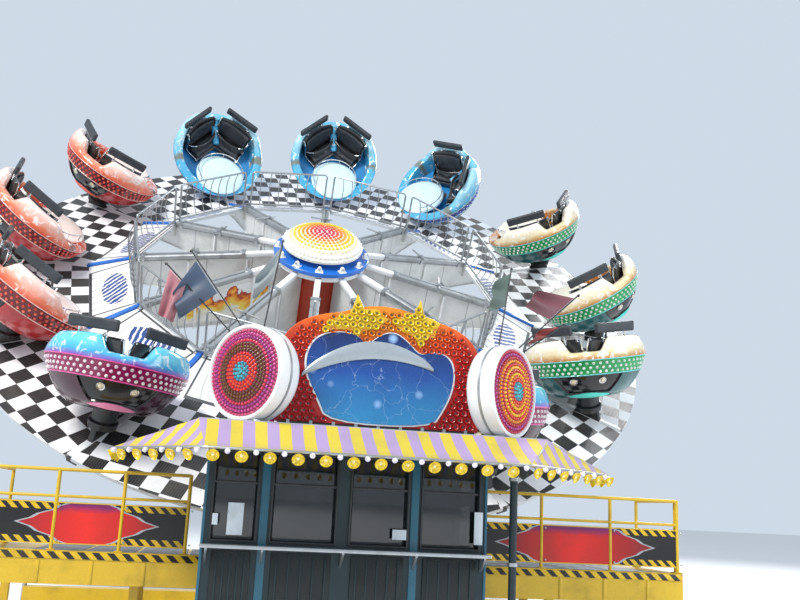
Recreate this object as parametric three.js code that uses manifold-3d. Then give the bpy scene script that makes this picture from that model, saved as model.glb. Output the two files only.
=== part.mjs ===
// Tilting disc ride with twelve freely turning tubs, its lifting boom, base, platform and pay booth.
// Millimetres, +Z up. The origin is on the ground, under the middle of the disc as it stands tilted.
// The disc leans towards -Y, the side with the platform and the booth.

import * as THREE from 'three';
import { mergeVertices } from 'three/addons/utils/BufferGeometryUtils.js';
import Module from 'manifold-3d';

const wasm = await Module();
wasm.setup();

const DEG = Math.PI / 180;
const GAP = 0.3;                    // clearance between pieces that touch
const BEARING_GAP = 0.6;            // clearance between faces that turn on each other

// Ride geometry
const TILT = 41.6 * DEG;            // lean of the disc in its raised pose
const BOOM_LENGTH = 6950;           // boom pivot to disc axis
const DISC_OFFSET = 1100;           // boom centreline to the disc's reference plane
const PIVOT = { y: DISC_OFFSET * Math.sin(TILT) - BOOM_LENGTH * Math.cos(TILT), z: 800 };
const SPOKES = 12;
const STEP = 360 / SPOKES * DEG;
const HALF = STEP / 2;
const DISC_PHASE = -155.5 * DEG;    // where the disc has turned to: the direction of its first spoke

// Disc, radii along a spoke and heights over the reference plane
const FLOOR_IN = { r: 3800, h: 0 };
const FLOOR_OUT = { r: 4736, h: -332 };
const DECK_OUT = { r: 6900, h: -405 };
const DECK_THICK = 60;
const SEAM = 60;                    // half of the gap between two sectors
const RAIL = { height: 950, bars: 6, tube: 34, bar: 20, inset: 30, sill: 90, margin: 30 };

// Hub
const COLUMN = { r: 480, low: -780, top: 640, window: { width: 190, height: 300, z: 10, count: 6 } };
const RING = { r: 990, low: 640, thick: 90, lug: 130, lugRise: 46, lugInset: 70 };
const DOME = { neck: 500, r: 820, low: 730, rim: 850, rimThick: 80, lens: 770, rise: 270 };
const COLLAR = { r: 620, low: -760, top: 430 };
const ARM_ROOT = { r: 930, h: 555 };
const ARM_COLLAR = { low: 510, inner: COLLAR.r + 20, outer: ARM_ROOT.r + 20 };
const ARM = { width: 190, depth: 130, endInset: 40, endHeight: 20 };
const SLEW = { inner: 300, r: 600, low: -1000 };

// Girders: a beam under the deck and a web plate on each spoke
const BEAM_FLANGE = 100;            // half width of the beam under the deck
const BEAM_END = DECK_OUT.r - 60;
const WEB = { thick: 40, root: -740, knee: -560, end: BEAM_END - 300 };
const STAND = { plate: 230, thick: 60, foot: 330, low: -500 };

// Tubs. Each turns on an inclined spindle, and its shell is tilted on that spindle: the seats' side is high and
// the cowl's side low. Shell and seats are drawn level, with x towards the seats, and then tilted by onSpindle.
const TUB_PIVOT = { r: 6175, h: -180 };
const TUB_INCLINE = 20 * DEG;
const SHELL_TILT = { angle: 22 * DEG, x: 90, z: 257.5 };
const SPINDLE = { r: 240, top: 340 };
const TUB = {
  base: 430, bowl: [700, 90, 900, 250], band: [1000, 425, 1110, 680], lip: 1125, lipHeight: 700,
  rim: 1090, wall: 50, floor: 260, floorRadius: 850,
};
const SHOULDER = 370;               // height of the painted body behind each bench
const DIP = 130;                    // its height between the two benches
const NOSE = 8;                     // its height on the hub side, under the round cowl
const TUB_SEGMENTS = 20;
const TUB_PHASE = [15, 44, 92, -8, 8, -40, -88, -44, -68, -25, 10, 42];  // how far each has turned, degrees
const BENCH_ANGLE = 38 * DEG;
const BENCH = { width: 900, front: 240, back: 690, top: 500 };
const BACK = { width: 860, foot: 590, near: 800, thick: 90, top: 1060 };
const PAD = { width: 930, near: 850, thick: 130, low: 1100, height: 250 };
const TREAD = { r: 700, thick: 30 };
const COWL = { rim: -1120, r: 590, low: 755, thick: 110, edge: 40, sink: 12 * DEG, neckX: -400, neckR: 240, neckTop: 658 };

// Boom
const BEAM = { x: 550, width: 200, low: -220, top: 200, head: 720, overhang: 420 };
const PIN = { r: 100, bore: 100.9, lug: 200, length: 1760 };

// Base, platform and booth
const BASE = { x: 780, width: 280, low: 60, top: 400, front: -7300, rear: 4600, reach: 4300, foot: 220 };
const BRACKET = { x: 750, thick: 160, rise: 250, neck: 160, foot: 700 };
const PLATFORM = { x: 4400, front: -7300, back: -5950, top: 1000, thick: 90 };
const FENCE = { left: 2050, right: 1500, height: 950, tube: 40, panelLow: 80, panelHigh: 540, midRail: 600 };
const BOOTH = { left: -1850, right: 1300, front: -8600, floor: 320, top: 2460, wall: 60 };
const BOOTH_BACK = PLATFORM.front - GAP;
const WINDOW = { posts: [-1850, -1210, -340, 470, 1300], post: 90, low: 1250, high: 2180 };
const ROOF = { x: 2000, front: -8700, back: BOOTH_BACK + 40, low: BOOTH.top + GAP, thick: 70 };
const CANOPY = {
  front: -9300, left: -1900, right: 1600, sideLeft: -2900, sideRight: 3000, sideY: -8100,
  low: 2200, high: 2525, thick: 40,
};
const POST = { x: 1620, y: -8630, r: 45, foot: 120, plate: 20 };
const SIGN = { x: 40, y: -8300, width: 2400, low: 2580, shoulder: 3440, top: 4010, thick: 160 };
const DISC = { out: 1600, face: -8550, r: 505, shell: 550, depth: 380, turn: 44 * DEG };

// Solid helpers

function signedVolume(position, index) {
  const a = new THREE.Vector3();
  const b = new THREE.Vector3();
  const c = new THREE.Vector3();
  let sum = 0;
  for (let i = 0; i < index.length; i += 3) {
    a.fromBufferAttribute(position, index[i]);
    b.fromBufferAttribute(position, index[i + 1]);
    c.fromBufferAttribute(position, index[i + 2]);
    sum += a.dot(b.cross(c));
  }
  return sum;
}

// Shared vertices are merged, triangles of no area dropped, and faces turned outwards.
function closed(geometry) {
  const bare = geometry.index ? geometry.toNonIndexed() : geometry.clone();
  bare.deleteAttribute('normal');
  bare.deleteAttribute('uv');
  const merged = mergeVertices(bare, 1e-3);
  const source = merged.index.array;
  const kept = [];
  for (let i = 0; i < source.length; i += 3) {
    const [a, b, c] = [source[i], source[i + 1], source[i + 2]];
    if (a !== b && b !== c && c !== a) kept.push(a, b, c);
  }
  if (signedVolume(merged.attributes.position, kept) < 0) kept.reverse();
  merged.setIndex(kept);
  return merged;
}

function solid(geometry) {
  const g = closed(geometry);
  return new wasm.Manifold(new wasm.Mesh({
    numProp: 3,
    vertProperties: new Float32Array(g.attributes.position.array),
    triVerts: new Uint32Array(g.index.array),
  }));
}

function geometryOf(manifold) {
  const mesh = manifold.getMesh();
  const g = new THREE.BufferGeometry();
  g.setAttribute('position', new THREE.BufferAttribute(new Float32Array(mesh.vertProperties), 3));
  g.setIndex(Array.from(mesh.triVerts));
  return g;
}

const fuse = (geometries) => geometries.map(solid).reduce((all, next) => all.add(next));
const fused = (geometries) => geometryOf(fuse(geometries));
const cut = (geometries, holes) => geometryOf(fuse(geometries).subtract(fuse(holes)));

const box = (w, d, h, x = 0, y = 0, z = 0) => new THREE.BoxGeometry(w, d, h).translate(x, y, z);

// A box given by its low and high corners
const block = (x0, x1, y0, y1, z0, z1) =>
  box(x1 - x0, y1 - y0, z1 - z0, (x0 + x1) / 2, (y0 + y1) / 2, (z0 + z1) / 2);

// A square post of half width h round a point in plan
const post = (x, y, h, z0, z1) => block(x - h, x + h, y - h, y + h, z0, z1);

// A round bar along Z from low to top
const drum = (r, low, top, segments = 32, rTop = r) =>
  new THREE.CylinderGeometry(rTop, r, top - low, segments).rotateX(Math.PI / 2).translate(0, 0, (low + top) / 2);

const barX = (r, x0, x1, segments = 32) =>
  new THREE.CylinderGeometry(r, r, x1 - x0, segments).rotateZ(Math.PI / 2).translate((x0 + x1) / 2, 0, 0);

const lathe = (profile, segments) =>
  new THREE.LatheGeometry(profile.map(([r, z]) => new THREE.Vector2(r, z)), segments).rotateX(Math.PI / 2);

const ring = (rIn, rOut, low, top, segments = 36) =>
  lathe([[rIn, low], [rOut, low], [rOut, top], [rIn, top], [rIn, low]], segments);

const outline = (points) => new THREE.Shape(points.map(([x, y]) => new THREE.Vector2(x, y)));

const plate = (points, depth) => new THREE.ExtrudeGeometry(outline(points), { depth, bevelEnabled: false });

// A plate with its outline in plan, from z up by depth
const slab = (points, z, depth) => plate(points, depth).translate(0, 0, z);

// A plate with its outline in the (radius, height) plane, centred on the spoke along +X
const fin = (points, thick) => plate(points, thick).translate(0, 0, -thick / 2).rotateX(Math.PI / 2);

// A plate with its outline in the (y, z) plane, between x0 and x1
const cheek = (points, x0, x1) =>
  plate(points, x1 - x0).rotateX(Math.PI / 2).rotateZ(Math.PI / 2).translate(x0, 0, 0);

// A straight bar of rectangular section from one point to another, its depth kept upright
function strut(from, to, width, depth) {
  const a = new THREE.Vector3(...from);
  const b = new THREE.Vector3(...to);
  const along = b.clone().sub(a).normalize();
  const side = new THREE.Vector3(0, 0, 1).cross(along).normalize();
  const up = along.clone().cross(side);
  const turn = new THREE.Matrix4().makeBasis(along, side, up);
  const length = a.distanceTo(b);
  const middle = a.add(b).multiplyScalar(0.5);
  return new THREE.BoxGeometry(length, width, depth)
    .applyMatrix4(turn)
    .translate(middle.x, middle.y, middle.z);
}

const spokeAngle = (k) => -STEP * k;
const spokes = Array.from({ length: SPOKES }, (_, k) => k);
const onSpokes = (geometry) => spokes.map((k) => geometry.clone().rotateZ(spokeAngle(k)));

// Materials

function paint(color, roughness = 0.45, metalness = 0) {
  return new THREE.MeshStandardMaterial({ color, roughness, metalness });
}

const look = {
  steel: () => paint('#8d9196', 0.4, 0.8),
  white: () => paint('#e9eaea', 0.4),
  blue: () => paint('#1f63b8', 0.35),
  hubRed: () => paint('#c5341a', 0.4),
  deck: () => paint('#b9bcc0', 0.5),
  seat: () => paint('#23262b', 0.7),
  yellow: () => paint('#e3b51c', 0.45),
  red: () => paint('#c22a20', 0.45),
  booth: () => paint('#1f3f40', 0.5),
  canopy: () => paint('#d9c34a', 0.85),
  lamps: () => paint('#e8a33a', 0.3),
};
const tubColours = ['#c7331f', '#3fb6e6', '#1f9c62', '#8a2a7d'];   // three tubs of each, in turn

function piece(parent, name, geometry, material) {
  const mesh = new THREE.Mesh(geometry, material);
  mesh.name = name;
  parent.add(mesh);
  return mesh;
}

const number = (k) => String(k + 1).padStart(2, '0');

// Disc sectors

// Plan outline between two chords of a sector, its sides kept off the spokes by the seam
function sectorOutline(rIn, rOut, round) {
  const x0 = rIn * Math.cos(HALF);
  const sideAt = (x) => x * Math.tan(HALF) - SEAM / Math.cos(HALF);
  const points = [[x0, -sideAt(x0)]];
  if (round) {
    const span = HALF - Math.asin(SEAM / rOut);
    const steps = 6;
    for (let i = 0; i <= steps; i += 1) {
      const a = -span + 2 * span * i / steps;
      points.push([rOut * Math.cos(a), rOut * Math.sin(a)]);
    }
  } else {
    const x1 = rOut * Math.cos(HALF);
    points.push([x1, -sideAt(x1)], [x1, sideAt(x1)]);
  }
  points.push([x0, sideAt(x0)]);
  return points;
}

// Lifts a flat plate so that it passes through two heights at two chords
function sloped(geometry, from, to) {
  const x0 = from.r * Math.cos(HALF);
  const slope = (to.h - from.h) / ((to.r - from.r) * Math.cos(HALF));
  const shear = new THREE.Matrix4().set(1, 0, 0, 0, 0, 1, 0, 0, slope, 0, 1, from.h - slope * x0, 0, 0, 0, 1);
  return geometry.applyMatrix4(shear);
}

function deckSector() {
  const joinLap = 4;
  const floor = slab(sectorOutline(FLOOR_IN.r, FLOOR_OUT.r + joinLap, false), -DECK_THICK, DECK_THICK);
  const deck = slab(sectorOutline(FLOOR_OUT.r, DECK_OUT.r, true), -DECK_THICK, DECK_THICK);
  return fused([sloped(floor, FLOOR_IN, FLOOR_OUT), sloped(deck, FLOOR_OUT, DECK_OUT)]);
}

// Spokes: girders under the deck with the tub pivots, and arms from the hub ring to the deck

const heightAt = (r, a, b) => a.h + (b.h - a.h) * (r - a.r) / (b.r - a.r);
const ARM_END = { r: FLOOR_IN.r - ARM.endInset, h: FLOOR_IN.h + ARM.endHeight };

// The stand of a tub: two sides that rise from the beam to the inclined plate of the turning axis
function tubStand() {
  const along = [Math.cos(TUB_INCLINE), Math.sin(TUB_INCLINE)];
  const normal = [-Math.sin(TUB_INCLINE), Math.cos(TUB_INCLINE)];
  const at = (s, t) => [TUB_PIVOT.r + s * along[0] + t * normal[0], TUB_PIVOT.h + s * along[1] + t * normal[1]];
  const inPlate = -STAND.thick / 2;
  const side = [at(-0.8 * STAND.plate, inPlate), [TUB_PIVOT.r - STAND.foot, STAND.low],
    [TUB_PIVOT.r + STAND.foot, STAND.low], at(0.72 * STAND.plate, inPlate)];
  const pivotPlate = drum(STAND.plate, -STAND.thick, -BEARING_GAP, 12)
    .rotateY(-TUB_INCLINE)
    .translate(TUB_PIVOT.r, 0, TUB_PIVOT.h);
  return [fin(side, 2 * SEAM - 16), pivotPlate];
}

function girders() {
  const pitch = Math.atan2(ARM_ROOT.h - ARM_END.h, ARM_END.r - ARM_ROOT.r);
  const underArm = (r) => heightAt(r, ARM_ROOT, ARM_END) - ARM.depth / 2 / Math.cos(pitch) - GAP;
  const collarTop = ARM_COLLAR.low - GAP;
  const meet = ARM_ROOT.r + (underArm(ARM_ROOT.r) - collarTop) / Math.tan(pitch);
  // Across the beam's width the sectors fall away, so the beam's seat lies that much lower.
  const fall = (from, to) => (to.h - from.h) / (to.r - from.r) * Math.tan(HALF) * BEAM_FLANGE;
  const floorSeat = -DECK_THICK - GAP + fall(FLOOR_IN, FLOOR_OUT);
  const deckSeat = -DECK_THICK - GAP + fall(FLOOR_OUT, DECK_OUT);
  const onFloor = (r) => [r, heightAt(r, FLOOR_IN, FLOOR_OUT) + floorSeat];
  const onDeck = (r) => [r, heightAt(r, FLOOR_OUT, DECK_OUT) + deckSeat];
  const [inner, knee, outer, end] = [onFloor(FLOOR_IN.r + 5), onFloor(FLOOR_OUT.r + 8),
    onDeck(FLOOR_OUT.r + 20), onDeck(BEAM_END)];
  const beam = [inner, knee, outer, end,
    [BEAM_END, end[1] - 110], [FLOOR_OUT.r, knee[1] - 150], [inner[0], inner[1] - 220]];
  const webStart = COLLAR.r - 30;
  const web = [
    [webStart, collarTop], [meet, collarTop], [FLOOR_IN.r - 60, underArm(FLOOR_IN.r - 60)],
    [FLOOR_IN.r + 60, inner[1] - 60], [FLOOR_OUT.r, knee[1] - 40], [WEB.end, end[1] - 60],
    [WEB.end, end[1] - 120], [FLOOR_OUT.r, knee[1] - 220], [FLOOR_IN.r, WEB.knee], [webStart, WEB.root],
  ];
  const spoke = fused([fin(beam, 2 * BEAM_FLANGE), fin(web, WEB.thick), ...tubStand()]);
  return fused([ring(COLUMN.r + 4, COLLAR.r, COLLAR.low, COLLAR.top, 24), ...onSpokes(spoke)]);
}

function arms() {
  const start = ARM_ROOT.r - 60;
  const tube = strut([start, 0, heightAt(start, ARM_ROOT, ARM_END)], [ARM_END.r, 0, ARM_END.h], ARM.width, ARM.depth);
  return fused([ring(ARM_COLLAR.inner, ARM_COLLAR.outer, ARM_COLLAR.low, RING.low - GAP, 24), ...onSpokes(tube)]);
}

// Guard rail round the inner edge of the deck, one panel to each sector
function guardRail() {
  const { height, bars, tube, bar, inset, sill, margin } = RAIL;
  const x = FLOOR_IN.r * Math.cos(HALF) + inset;
  const corner = x * Math.tan(HALF);
  const half = corner - SEAM / Math.cos(HALF) - margin;
  const floorSlope = (FLOOR_OUT.h - FLOOR_IN.h) / ((FLOOR_OUT.r - FLOOR_IN.r) * Math.cos(HALF));
  const foot = floorSlope * (inset - tube / 2) + GAP;
  const parts = [
    block(x - tube / 2, x + tube / 2, -half, half, height - tube, height),
    block(x - tube / 2, x + tube / 2, -corner, corner, sill, sill + tube),
  ];
  for (const y of [-half, half]) parts.push(post(x, y, tube / 2, foot, height));
  for (let i = 1; i <= bars; i += 1) {
    const y = -half + 2 * half * i / (bars + 1);
    parts.push(post(x, y, bar / 2, sill + bar / 2, height - bar / 2));
  }
  const panel = fused(parts).rotateZ(-HALF);
  return fused(onSpokes(panel));
}

// Tubs

// From the level shell's frame to the frame of the spindle, whose z is the turning axis
const onSpindle = (g) => g.rotateY(-SHELL_TILT.angle).translate(SHELL_TILT.x, 0, SHELL_TILT.z);

// Height of the painted body over the lip at an angle from the middle of the seats' side
function bodyHeight(angle) {
  const a = Math.abs(Math.atan2(Math.sin(angle), Math.cos(angle))) / DEG;
  const keys = [[0, DIP], [14, DIP], [26, SHOULDER], [66, SHOULDER * 0.92], [92, 120], [112, 60],
    [135, NOSE], [180, NOSE]];
  const i = keys.findIndex(([at]) => a <= at);
  if (i <= 0) return keys[0][1];
  const [a0, h0] = keys[i - 1];
  const [a1, h1] = keys[i];
  const t = (a - a0) / (a1 - a0);
  return h0 + (h1 - h0) * t * t * (3 - 2 * t);
}

// A turned shell whose top edge then rises and falls with the painted body, tilted on its round foot
function tubShell() {
  const [b0, b0z, b1, b1z] = TUB.bowl;
  const [l0, l0z, l1, l1z] = TUB.band;
  const topMark = TUB.lipHeight + 1000;
  const profile = [
    [0, 0], [TUB.base, 0], [b0, b0z], [b1, b1z], [l0, l0z], [l1, l1z], [TUB.lip, TUB.lipHeight], [TUB.rim, topMark],
    [TUB.rim - TUB.wall, topMark], [l1 - TUB.wall - 10, TUB.lipHeight - 6], [l0 - TUB.wall, l0z],
    [TUB.floorRadius, TUB.floor], [0, TUB.floor],
  ];
  const g = lathe(profile, TUB_SEGMENTS);
  const p = g.attributes.position;
  for (let i = 0; i < p.count; i += 1) {
    if (p.getZ(i) > topMark - 1) {
      p.setZ(i, TUB.lipHeight + bodyHeight(Math.atan2(p.getY(i), p.getX(i))));
    }
  }
  return fused([onSpindle(closed(g)), drum(SPINDLE.r, 0, SPINDLE.top, 16)]);
}

// Two benches with their backs and pads, on the tread plate, and the round cowl leaning inwards on its neck
function tubSeats() {
  const deck = TUB.floor + GAP;
  const across = (w, x0, x1, z0, z1) => block(x0, x1, -w / 2, w / 2, z0, z1);
  const back = [[BACK.foot, BENCH.top - 40], [BACK.foot + BACK.thick, BENCH.top - 40],
    [BACK.near + BACK.thick, BACK.top], [BACK.near, BACK.top]];
  const bench = [
    across(BENCH.width, BENCH.front, BENCH.back, deck, BENCH.top),
    fin(back, BACK.width),
    across(BACK.width / 2, BACK.near + 10, BACK.near + BACK.thick - 10, BACK.top - 20, PAD.low + 40),
    across(PAD.width, PAD.near, PAD.near + PAD.thick, PAD.low, PAD.low + PAD.height),
  ];
  return fused([
    ...[-1, 1].flatMap((side) => bench.map((g) => g.clone().rotateZ(side * BENCH_ANGLE))),
    drum(TREAD.r, deck, TUB.floor + TREAD.thick, 12),
    drum(COWL.neckR, deck, COWL.neckTop, 12).translate(COWL.neckX, 0, 0),
    drum(COWL.r, 0, COWL.thick, 20, COWL.r - COWL.edge)
      .translate(COWL.r, 0, 0)
      .rotateY(COWL.sink)
      .translate(COWL.rim, 0, COWL.low),
  ].map(onSpindle));
}

// Hub

function hubColumn() {
  const { width, height, z, count } = COLUMN.window;
  const hole = box(COLUMN.r, width, height, COLUMN.r, 0, z);
  return cut(
    [drum(COLUMN.r, COLUMN.low, COLUMN.top - GAP, 24)],
    Array.from({ length: count }, (_, k) => hole.clone().rotateZ(2 * Math.PI * k / count + HALF)),
  );
}

function hubRing() {
  const { r, low, thick, lug, lugRise, lugInset } = RING;
  const top = low + thick;
  const bracket = box(lug, lug, lugRise + 10, r - lugInset, 0, top + lugRise / 2 - 5);
  return fused([drum(r, low, top, 48), ...onSpokes(bracket)]);
}

function hubDome() {
  const { neck, r, low, rim, rimThick, lens, rise } = DOME;
  const top = rim + rimThick;
  const profile = [[0, low + GAP], [neck, low + GAP], [neck, rim], [r, rim], [r, top]];
  const steps = 4;
  for (let i = 0; i < steps; i += 1) {
    const a = i / steps * Math.PI / 2;
    profile.push([lens * Math.cos(a), top + rise * Math.sin(a)]);
  }
  profile.push([0, top + rise]);
  return closed(lathe(profile, 28));
}

// Boom, in its own frame: y from the pivot to the disc axis

function boomArm() {
  const { x, width, low, top, head, overhang } = BEAM;
  const end = BOOM_LENGTH + overhang;
  const lowTop = top - 101;
  const taper = 150;
  const side = [[-taper, -taper], [taper, low], [end - 500, low], [end, -60], [end, 90],
    [end - 60, lowTop], [BOOM_LENGTH - 900, lowTop], [BOOM_LENGTH - 1100, top], [taper, top], [-taper, taper]];
  const beams = [-x, x].map((at) => cheek(side, at - width / 2, at + width / 2));
  const ties = [1000, 2500, 4000, 5300].map((y) => block(-x, x, y - 90, y + 90, -150, 130));
  const seat = drum(head, low, DISC_OFFSET + SLEW.low - GAP, 36).translate(0, BOOM_LENGTH, 0);
  const lug = barX(PIN.lug, -x - width / 2, x + width / 2);
  return cut([...beams, ...ties, seat, lug], [barX(PIN.bore, -PIN.length, PIN.length)]);
}

const slewRing = () => closed(ring(SLEW.inner, SLEW.r, SLEW.low, COLUMN.low - BEARING_GAP));

// Base frame on the ground, with the brackets of the boom pivot and the rest for the lowered boom
function baseFrame() {
  const { x, width, low, top, front, rear, reach, foot } = BASE;
  const tieTop = top - 60;
  const parts = [];
  const bracket = [[PIVOT.y - BRACKET.foot, top - 20], [PIVOT.y - 230, PIVOT.z + BRACKET.neck],
    [PIVOT.y - 110, PIVOT.z + BRACKET.rise], [PIVOT.y + 110, PIVOT.z + BRACKET.rise],
    [PIVOT.y + 230, PIVOT.z + BRACKET.neck], [PIVOT.y + BRACKET.foot, top - 20]];
  for (const s of [-1, 1]) {
    parts.push(block(s * x - width / 2, s * x + width / 2, front, rear, low, top));
    parts.push(cheek(bracket, s * BRACKET.x - BRACKET.thick / 2, s * BRACKET.x + BRACKET.thick / 2));
  }
  for (const y of [front + foot + 30, PIVOT.y, 0, rear - foot]) {
    const out = y === 0 || y === PIVOT.y ? reach : x;
    parts.push(block(-out, out, y - 130, y + 130, low, tieTop));
    for (const px of [-out, -x, 0, x, out]) parts.push(post(px, y, foot, 0, low + 20));
  }
  const restY = PIVOT.y + BOOM_LENGTH - 1500;
  parts.push(block(-x, x, restY - 90, restY + 90, low, tieTop));
  for (const s of [-1, 1]) parts.push(post(s * BEAM.x, restY, 90, tieTop - 100, PIVOT.z + BEAM.low - 10));
  return cut(parts, [barX(PIN.r + GAP, -PIN.length, PIN.length).translate(0, PIVOT.y, PIVOT.z)]);
}

const pivotShaft = () => closed(barX(PIN.r, -PIN.length / 2, PIN.length / 2).translate(0, PIVOT.y, PIVOT.z));

function frontPlatform() {
  const { x, front, back, top, thick } = PLATFORM;
  const parts = [
    block(-x, x, front, back, top - thick, top),
    block(-x, x, front, front + 60, top - 380, top - 10),
    block(-x, x, back - 60, back, top - 260, top - 10),
  ];
  for (const px of [-x + 150, -2600, 2600, x - 150]) {
    for (const py of [front + 160, back - 160]) {
      parts.push(post(px, py, 50, 10, top - 20));
      parts.push(post(px, py, 130, 0, 30));
    }
  }
  for (const px of [-BASE.x, BASE.x]) parts.push(post(px, front + 460, 60, BASE.top + GAP, top - 20));
  return fused(parts);
}

// Rails, posts and a low panel in one flat frame along X, from x0 to x1 on the line y
function fenceFrame(x0, x1, y, bays) {
  const floor = PLATFORM.top + GAP;
  const high = PLATFORM.top + FENCE.height;
  const half = FENCE.tube / 2;
  const parts = [block(x0, x1, y - 12, y + 12, PLATFORM.top + FENCE.panelLow, PLATFORM.top + FENCE.panelHigh)];
  for (const z of [PLATFORM.top + FENCE.midRail, high - FENCE.tube]) {
    parts.push(block(x0, x1, y - half, y + half, z, z + FENCE.tube));
  }
  for (let i = 0; i <= bays; i += 1) parts.push(post(x0 + (x1 - x0) * i / bays, y, half + 5, floor, high));
  return fused(parts);
}

// A fence along the platform's front, from beside the booth to the platform's end
function platformFence(side) {
  const inner = side < 0 ? FENCE.left : FENCE.right;
  const [x0, x1] = [side * inner, side * (PLATFORM.x - 50)].sort((a, b) => a - b);
  return fenceFrame(x0, x1, PLATFORM.front + 50, 3);
}

// A fence along the platform's end, behind the corner post of the front one
function platformEnd(side) {
  const clear = FENCE.tube + 10 + GAP;
  const start = PLATFORM.front + 50 + clear;
  const length = PLATFORM.back - 60 - start;
  return fenceFrame(0, length, 0, 1).rotateZ(Math.PI / 2).translate(side * (PLATFORM.x - 50), start, 0);
}

// Pay booth

function boothWalls() {
  const { left, right, front, floor, top, wall } = BOOTH;
  const back = BOOTH_BACK;
  const { posts, post: half, low, high } = WINDOW;
  const holes = [block(left + wall, right - wall, front + wall, back - wall, floor - 10, top + 10)];
  for (let i = 0; i < posts.length - 1; i += 1) {
    holes.push(block(posts[i] + half, posts[i + 1] - half, front - wall, front + 2 * wall, low, high));
  }
  holes.push(block(left - wall, left + 2 * wall, front + 200, back - 200, low, high));
  holes.push(block(right - 2 * wall, right + wall, back - 850, back - 150, floor - 20, high + 60));
  return cut([block(left, right, front, back, floor + GAP, top)], holes);
}

function boothFloor() {
  const { left, right, front, floor } = BOOTH;
  const parts = [block(left, right, front, BOOTH_BACK, floor - 100, floor)];
  for (const px of [left + 80, (left + right) / 2, right - 80]) {
    for (const py of [front + 80, BOOTH_BACK - 80]) parts.push(post(px, py, 80, 0, floor - 50));
  }
  return fused(parts);
}

// The roof plate, which reaches past the walls to the canopy post, and the board that backs the sign
function boothRoof() {
  const behind = SIGN.y + SIGN.thick / 2 + GAP;
  const half = SIGN.width / 2 - 420;
  return fused([
    block(-ROOF.x, ROOF.x, ROOF.front, ROOF.back, ROOF.low, ROOF.low + ROOF.thick),
    block(SIGN.x - half, SIGN.x + half, behind, behind + 110, ROOF.low + 20, SIGN.shoulder - 60),
  ]);
}

const canopyPost = () => fused([
  drum(POST.r, 0, BOOTH.top, 16).translate(POST.x, POST.y, 0),
  post(POST.x, POST.y, POST.foot, 0, POST.plate),
]);

// Striped canopy: a sheet that falls from the roof's edge to a half octagon of edge
function canopy() {
  const { front, left, right, sideLeft, sideRight, sideY, low, high, thick } = CANOPY;
  const rootX = ROOF.x + GAP;
  const rootY = ROOF.front - GAP;
  const root = [[-rootX, BOOTH_BACK], [-rootX, rootY], [-rootX, rootY], [rootX, rootY], [rootX, rootY],
    [rootX, BOOTH_BACK]];
  const edge = [[sideLeft, BOOTH_BACK], [sideLeft, sideY], [left, front], [right, front], [sideRight, sideY],
    [sideRight, BOOTH_BACK]];
  const vertices = [];
  for (const drop of [0, thick]) {
    for (const [x, y] of root) vertices.push(x, y, high - drop);
    for (const [x, y] of edge) vertices.push(x, y, low - drop);
  }
  const n = root.length;
  const faces = [];
  const quad = (a, b, c, d) => faces.push(a, b, c, a, c, d);
  for (let i = 0; i < n - 1; i += 1) {
    quad(i, n + i, n + i + 1, i + 1);
    quad(2 * n + i, 2 * n + i + 1, 3 * n + i + 1, 3 * n + i);
    quad(n + i, 3 * n + i, 3 * n + i + 1, n + i + 1);
    quad(i, i + 1, 2 * n + i + 1, 2 * n + i);
  }
  quad(0, 2 * n, 3 * n, n);
  quad(n - 1, 2 * n - 1, 4 * n - 1, 3 * n - 1);
  const g = new THREE.BufferGeometry();
  g.setAttribute('position', new THREE.Float32BufferAttribute(vertices, 3));
  g.setIndex(faces);
  return closed(g);
}

// Sign board with a rounded top, standing just over the booth's roof
function signBoard() {
  const w = SIGN.width / 2;
  const shoulderX = 0.42 * w;
  const shoulderZ = SIGN.top - 110;
  const bulge = [0.94 * w, SIGN.shoulder + 380];
  const shape = new THREE.Shape();
  shape.moveTo(-w, SIGN.low);
  shape.lineTo(w, SIGN.low);
  shape.lineTo(w, SIGN.shoulder);
  shape.quadraticCurveTo(bulge[0], bulge[1], shoulderX, shoulderZ);
  shape.quadraticCurveTo(0, SIGN.top + 110, -shoulderX, shoulderZ);
  shape.quadraticCurveTo(-bulge[0], bulge[1], -w, SIGN.shoulder);
  return closed(new THREE.ExtrudeGeometry(shape, { depth: SIGN.thick, bevelEnabled: false, curveSegments: 6 })
    .rotateX(Math.PI / 2)
    .translate(SIGN.x, SIGN.y + SIGN.thick / 2, 0));
}

// Round lamp disc in a drum shell, standing on the roof and turned to the side
function lampDisc(side) {
  const { out, face, r, shell, depth, turn } = DISC;
  const z = ROOF.low + ROOF.thick + GAP + shell;
  const profile = [[0, -depth], [shell - 60, -depth], [shell, -depth + 80], [shell, -30],
    [shell - 25, 0], [r, 0], [r - 15, -30], [r * 0.5, 25], [0, 50]];
  return closed(lathe(profile, 24)
    .rotateX(Math.PI / 2)
    .rotateZ(side * turn)
    .translate(SIGN.x + side * out, face, z));
}

// Assembly

const ride = new THREE.Group();
const base = new THREE.Group();
ride.add(base);
piece(base, 'base_frame', baseFrame(), look.yellow());
piece(base, 'pivot_shaft', pivotShaft(), look.steel());
piece(base, 'front_platform', frontPlatform(), look.yellow());
piece(base, 'platform_fence_left', platformFence(-1), look.yellow());
piece(base, 'platform_fence_right', platformFence(1), look.yellow());
piece(base, 'platform_end_left', platformEnd(-1), look.yellow());
piece(base, 'platform_end_right', platformEnd(1), look.yellow());
piece(base, 'booth_floor', boothFloor(), look.booth());
piece(base, 'booth_walls', boothWalls(), look.booth());
piece(base, 'booth_roof', boothRoof(), look.white());
piece(base, 'canopy_post', canopyPost(), look.booth());
piece(base, 'canopy', canopy(), look.canopy());
piece(base, 'sign_board', signBoard(), look.red());
piece(base, 'lamp_disc_left', lampDisc(-1), look.lamps());
piece(base, 'lamp_disc_right', lampDisc(1), look.lamps());

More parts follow.
